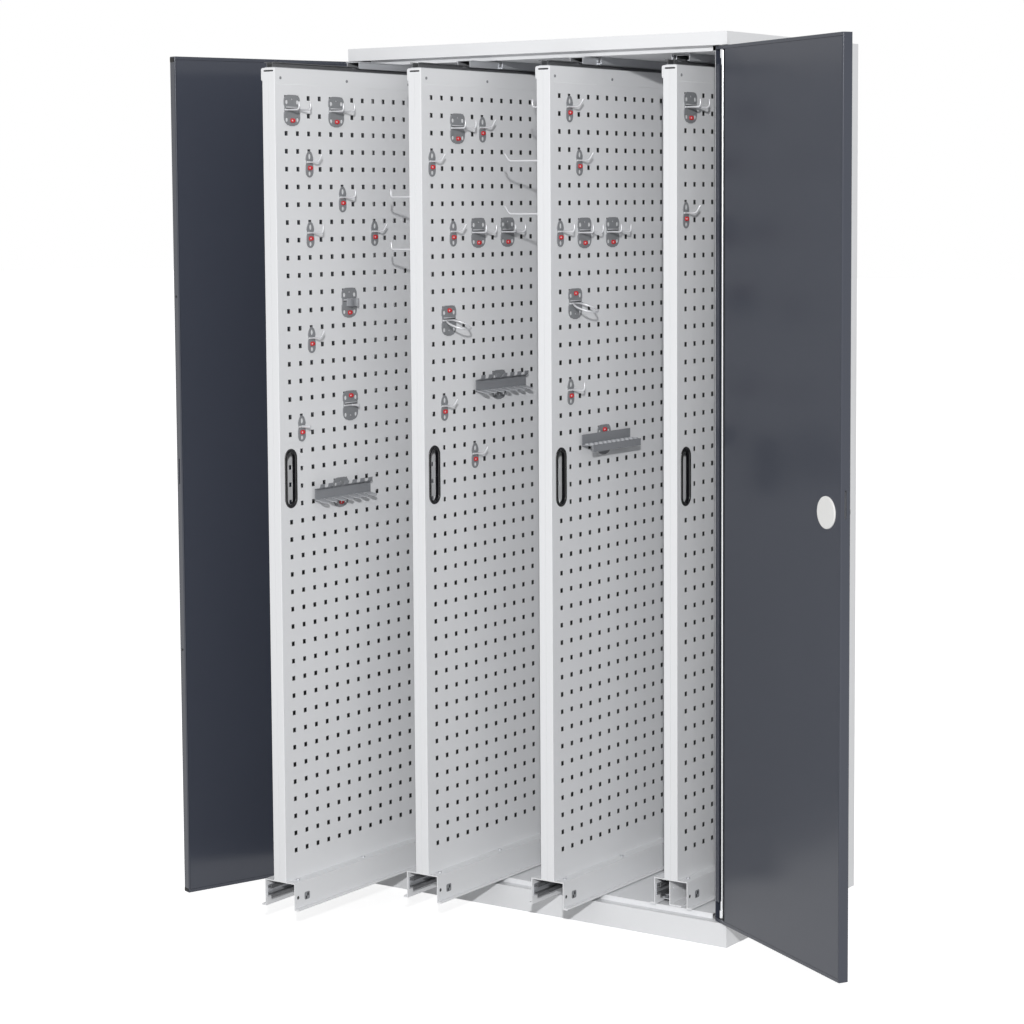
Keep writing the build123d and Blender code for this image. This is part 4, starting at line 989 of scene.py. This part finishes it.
@dataclass
class PullOut:
    """One upright pull-out: perforated sheets, frame, channel, slides, grip, screws and hooks."""

    number: int
    centre: float
    extension: float
    places: Tuple[Place, ...] = ()
    closed_front: float = 27.0
    half_thickness: float = 17.0
    inner_half: float = 16.7
    skin: float = 1.5
    length: float = 529.0
    first_column: float = 36.5
    first_row: float = 1823.0
    top: float = 1885.0
    bottom: float = 125.0
    # Share of colour kept by the painted shade on the pull-out's inner faces.
    inner_shade_share: float = 0.12
    # Share of colour kept by the painted shade in the slides' races.
    race_shade_share: float = 0.25
    grip_height: float = 1006.0
    grip_size: Pair = (34.0, 122.0)
    screw_height: float = 1864.0
    screws_along: Tuple[float, ...] = (19.0, 247.0, 473.0)
    fold_height: float = 1851.0

    @property
    def front(self) -> float:
        """Y of the post's face."""
        return self.closed_front - self.extension - HALF_DEPTH

    @property
    def name(self) -> str:
        """The start of its CAD nodes' names."""
        return f"pullout_{self.number}"

    def build(self) -> None:
        """Dresses the CAD nodes and builds what stands on them."""
        self.dress_nodes()
        self.hooks()
        self.grip()
        self.sheet_screws()
        self.fold_lines()
        self.post_tab()
        self.recesses()
        self.channel_screws()

    def piece(self, part: str, surfaces: Sequence[Surface], finishes: Sequence[Finish], slot: str,
              stands_for: Sequence[str] = ()) -> None:
        """Makes one of its pieces.

        Args:
            part: the end of the piece's name.
            surfaces: the piece's surfaces.
            finishes: in the order of the surfaces' slots.
            slot: the record's material slot; it is not used.
            stands_for: ends of the names of the CAD nodes that it replaces.
        """
        make_piece(f"{self.name}.{part}", surfaces, [finish.material() for finish in finishes], self.name,
                   [f"{self.name}_{node}" for node in stands_for])

    def dress_nodes(self) -> None:
        """Paints the frame, sheets and channel, with painted shade on their inner faces, and plates the
        slides, with painted shade in their races.
        """
        x, y = self.centre, self.front + self.length / 2
        inside = ((x, y, (self.bottom + self.top) / 2),
                  (self.inner_half, self.length / 2 - self.skin, (self.top - self.bottom) / 2 - self.skin))
        grip_room, race = (20.0, 58.0, 66.0), (14.9, 500.0, 10.2)
        behind_grip = ((x, self.front + grip_room[1], self.grip_height), grip_room)
        # Painted shade on the inner faces of the frame and sheets, so the holes look dark; the part behind
        # the grip keeps its colour.
        painted_inner_shade = FINISHES.sheet.with_painted_shade(self.name, [inside], [behind_grip], self.inner_shade_share)
        dress([f"{self.name}_{part}" for part in ("frame", "left_sheet", "right_sheet")], painted_inner_shade)
        dress([f"{self.name}_channel"], FINISHES.sheet.material())
        above, beside, below = 12.0, 28.0, 28.0
        races = [((x, y, self.top + above), race), ((x - beside, y, self.bottom - below), race[::-1])]
        # Painted shade in the races of the top and bottom slides.
        painted_race_shade = FINISHES.zinc.with_painted_shade(self.name, races, [], self.race_shade_share)
        dress([f"{self.name}_runners", f"{self.name}_mid_slides"], painted_race_shade)

    def at(self, place: Place, surface: Surface) -> Surface:
        """Moves a hook's surface from its own place to its holes.

        Args:
            place: where the hook hangs.
            surface: one of its surfaces.
        Returns:
            The surface in its place on the cabinet.
        """
        y = self.front + self.first_column + place.column * HOLE_PITCH
        y += HOLE_PITCH / 2 if place.kind.two_columns else 0.0
        x = self.centre + place.side * self.half_thickness
        facing = surface if place.side > 0 else surface.facing_left()
        return facing.moved((x, y, self.first_row - place.row * HOLE_PITCH))

    def hooks(self) -> None:
        """All plates, wires and racks as one piece, and all locks as another."""
        metal, locks = [], []
        for place in self.places:
            hook = Hook(place)
            metal += [self.at(place, s) for s in hook.plate() + hook.claws() + hook.fittings()]
            locks += [self.at(place, s) for s in hook.lock()]
        finishes = (FINISHES.plate, FINISHES.wire, FINISHES.rack, FINISHES.dark, FINISHES.finger)
        self.piece("hooks", metal, finishes, "hook_paint", ["hooks"])
        finishes = (FINISHES.red, FINISHES.wire, FINISHES.plate)
        self.piece("hook_locks", locks, finishes, "red_plastic", ["hook_locks"])

    def grip(self) -> None:
        """The raised oval ring: a rounded section carried round the slot, and its sleeve."""
        half_width, height, depth = 3.5, 2.5, 7.0
        turn = np.linspace(0, np.pi, 9)
        crown = np.stack([half_width * np.cos(turn), height * np.sin(turn) ** 0.7], axis=1)
        sleeve = [(-half_width, 0.0), (-half_width, -depth), (-0.7, -depth), (-0.7, 0.0)]
        centre = (self.centre + self.half_thickness, self.front + self.first_column, self.grip_height)
        ring = oval_ring(*self.grip_size, np.concatenate([crown[:-1], sleeve]), centre)
        self.piece("grip", [ring], [FINISHES.black], "black_plastic", ["grip_trim"])

    def sheet_screws(self) -> None:
        """Three screws near the top of each sheet."""
        screws = []
        for side in (-1, 1):
            x = self.centre + side * self.half_thickness
            screws += [turned(SHEET_SCREW, (x, self.front + along, self.screw_height), (side, 0, 0))
                       for along in self.screws_along]
        self.piece("sheet_screws", screws, [FINISHES.plate], "zinc_steel")

    def fold_lines(self) -> None:
        """The fold line along each sheet, below its screws."""
        lines, radius, sunk, middle = [], 0.35, 0.1, 260.0
        for side in (-1, 1):
            x = self.centre + side * (self.half_thickness - sunk)
            line = [(x, self.front + along, self.fold_height)
                    for along in (self.skin, middle, self.length - self.skin)]
            lines.append(wire(line, radius, (0, 0, 1), sides=8))
        self.piece("fold_lines", lines, [FINISHES.sheet], "panel_paint")

    def post_tab(self) -> None:
        """The tab at the top of the post's left side."""
        tab = soft_block((self.centre - 20.6, self.front + 0.4, 1858.0),
                         (self.centre - 16.4, self.front + 12.0, 1884.6), 7.0)
        self.piece("post_tab", [tab], [FINISHES.sheet], "panel_paint")

    def recesses(self) -> None:
        """The slot in the post's top and the plate's notches as thin dark blocks of painted shade, and the
        notched plate and the screw on the channel's wall.
        """
        x, y = self.centre, self.front
        dark, plate = RecessFinish
        # The slot and the notches are thin dark blocks of painted shade.
        surfaces = [
            soft_block((x - 13.0, y - 0.08, 1876.8), (x + 14.0, y + 0.6, 1880.6), slot=dark),
            soft_block((x + 41.9, y + 32.5, 82.5), (x + 42.5, y + 50.5, 99.5), slot=plate),
            soft_block((x + 42.2, y + 36.0, 84.0), (x + 42.7, y + 41.0, 90.5), slot=dark),
            soft_block((x + 42.2, y + 41.0, 90.0), (x + 42.7, y + 47.0, 97.0), slot=dark),
            turned(WALL_SCREW, (x + 41.0, y + 11.0, 92.0), (1, 0, 0), dark),
        ]
        self.piece("recesses", surfaces, [FINISHES.dark, FINISHES.plate], "black_plastic")

    def channel_screws(self) -> None:
        """Four screws in the channel's ledges, two on each side of the sheets."""
        across = 26.0
        screws = [turned(LEDGE_SCREW, (x, self.front + along, self.bottom), (0, 0, 1))
                  for x in (self.centre + across, self.centre - across) for along in (30.0, 263.0)]
        self.piece("channel_screws", screws, [FINISHES.zinc], "zinc_steel")


# ---------------------------------------------------------------- studio
def seen_directly(tree: Tree) -> Socket:
    """1 for a ray from the camera or one that a mirror or glass passes on, else 0.

    Args:
        tree: of the material or world that needs it.
    Returns:
        The socket that carries it.
    """
    path = add_node(tree, "LightPath", {}).node.outputs
    passed = reckon(tree, "ADD", path["Is Glossy Ray"], path["Is Transmission Ray"], clamp=True)
    return reckon(tree, "ADD", path["Is Camera Ray"], passed, clamp=True)


@dataclass
class Studio:
    """Camera, lamp, world and floor. Their sizes are in metres, the lens in millimetres."""

    lens: float = 89.7076
    sensor: float = 36.0
    place: Triple = (3.16076, -4.97003, 1.60455)
    turn: Triple = (85.0467, 0.3714, 34.4704)
    shift: float = -0.08984
    lamp_place: Triple = (3.74, -5.83, 2.85)
    lamp_aim: Triple = (-0.2, -0.6, 1.1)
    lamp_size: float = 0.16
    lamp_power: float = 290.0
    ambient: float = 0.62
    floor_half: float = 40.0
    floor_drop: float = 0.0005
    floor_grey: float = 0.5
    floor_roughness: float = 0.9
    floor_gloss: float = 0.1
    floor_glow: float = 0.8

    def build(self) -> None:
        """Sets the camera, the world, the floor and the lamp."""
        self.camera()
        self.world()
        self.floor()
        self.lamp()
        bpy.context.scene.view_settings.view_transform = "Standard"

    def camera(self) -> None:
        """A long lens at the height of the cabinet's upper half."""
        data = bpy.data.cameras.new("camera")
        data.sensor_width, data.lens, data.shift_y = self.sensor, self.lens, self.shift
        camera = bpy.data.objects.new("camera", data)
        camera.location = self.place
        camera.rotation_euler = [math.radians(a) for a in self.turn]
        bpy.context.scene.collection.objects.link(camera)
        bpy.context.scene.camera = camera

    def world(self) -> None:
        """Even light all round; seen directly or in a reflection it is white."""
        world = bpy.data.worlds.new("studio")
        bpy.context.scene.world = world
        world.use_nodes = True
        tree = world.node_tree
        strength = ranged(tree, seen_directly(tree), self.ambient, 1.0)
        feed(tree.nodes["Background"], {"Color": (1, 1, 1, 1), "Strength": strength})

    def floor(self) -> None:
        """A pale floor that glows for the camera, so it is white outside the shadow."""
        mesh = bpy.data.meshes.new("floor")
        half = self.floor_half
        mesh.from_pydata([(-half, -half, 0), (half, -half, 0), (half, half, 0), (-half, half, 0)], [],
                         [(0, 1, 2, 3)])
        floor = bpy.data.objects.new("floor", mesh)
        floor.location.z = -self.floor_drop
        bpy.context.scene.collection.objects.link(floor)
        material = bpy.data.materials.new("pale_floor")
        material.use_nodes = True
        tree = material.node_tree
        grey, white = (self.floor_grey,) * 3 + (1,), (1, 1, 1, 1)
        glow = reckon(tree, "MULTIPLY", seen_directly(tree), self.floor_glow)
        feed(tree.nodes["Principled BSDF"], {
            "Base Color": grey, "Roughness": self.floor_roughness, "Specular IOR Level": self.floor_gloss,
            "Emission Color": white, "Emission Strength": glow})
        mesh.materials.append(material)

    def lamp(self) -> None:
        """A small square lamp in front on the right, which faces the cabinet."""
        data = bpy.data.lights.new("key_lamp", "AREA")
        data.size, data.energy = self.lamp_size, self.lamp_power
        lamp = bpy.data.objects.new("key_lamp", data)
        lamp.location = self.lamp_place
        aim = Vector(self.lamp_aim) - Vector(self.lamp_place)
        lamp.rotation_euler = aim.to_track_quat("-Z", "Y").to_euler()
        bpy.context.scene.collection.objects.link(lamp)


def pull_outs() -> List[PullOut]:
    """The four pull-outs with what hangs on each: kind, column and row, and what differs from the usual.

    Returns:
        The pull-outs, from the left.
    """
    wide, slant, straight = Kind.WIDE, Kind.SLANT, Kind.STRAIGHT
    first = (
        (wide, 0, 0), (wide, 4, 0), (slant, 2, 3), (straight, 5, 5), (straight, 2, 7), (slant, 8, 7),
        (Kind.CLIP, 5, 11), (slant, 2, 13), (Kind.PIN, 5, 17), (Kind.SHORT, 1, 18), (Kind.COMB, 4, 22),
    )
    second = (
        (wide, 2, 1), (slant, 5, 1), (slant, 0, 3), (slant, 2, 7), (wide, 4, 7), (wide, 7, 7),
        (Kind.RING, 1, 12), (Kind.COMB, 6, 16, 37.0, 1, LockFinish.GREY), (slant, 1, 17), (slant, 4, 20),
        (straight, 0, 5, 77.0, -1), (straight, 0, 8, 77.0, -1),
    )
    third = (
        (slant, 1, 0), (slant, 2, 3), (straight, 0, 7), (wide, 2, 7), (wide, 5, 7), (Kind.RING, 1, 11),
        (straight, 1, 16), (Kind.SHELF, 4, 19), (straight, 0, 0, 35.0, -1), (slant, 0, 3, 108.0, -1),
        (slant, 0, 6, 108.0, -1),
    )
    fourth = ((wide, 0, 0), (slant, 0, 6))
    stands = ((-353.5, 489.3, first), (-130.7, 269.3, second), (130.7, 164.2, third), (353.5, 14.3, fourth))
    return [PullOut(number, centre, extension, tuple(Place(*hook) for hook in hooks))
            for number, (centre, extension, hooks) in enumerate(stands, start=1)]


def main() -> None:
    """Builds and dresses the cabinet from its carcass outwards, then the studio."""
    logging.basicConfig(level=logging.INFO, format="%(message)s")
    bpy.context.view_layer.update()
    Carcass().build()
    Doors().build()
    for one in pull_outs():
        one.build()
    Studio().build()


if __name__ == "__main__":
    main()
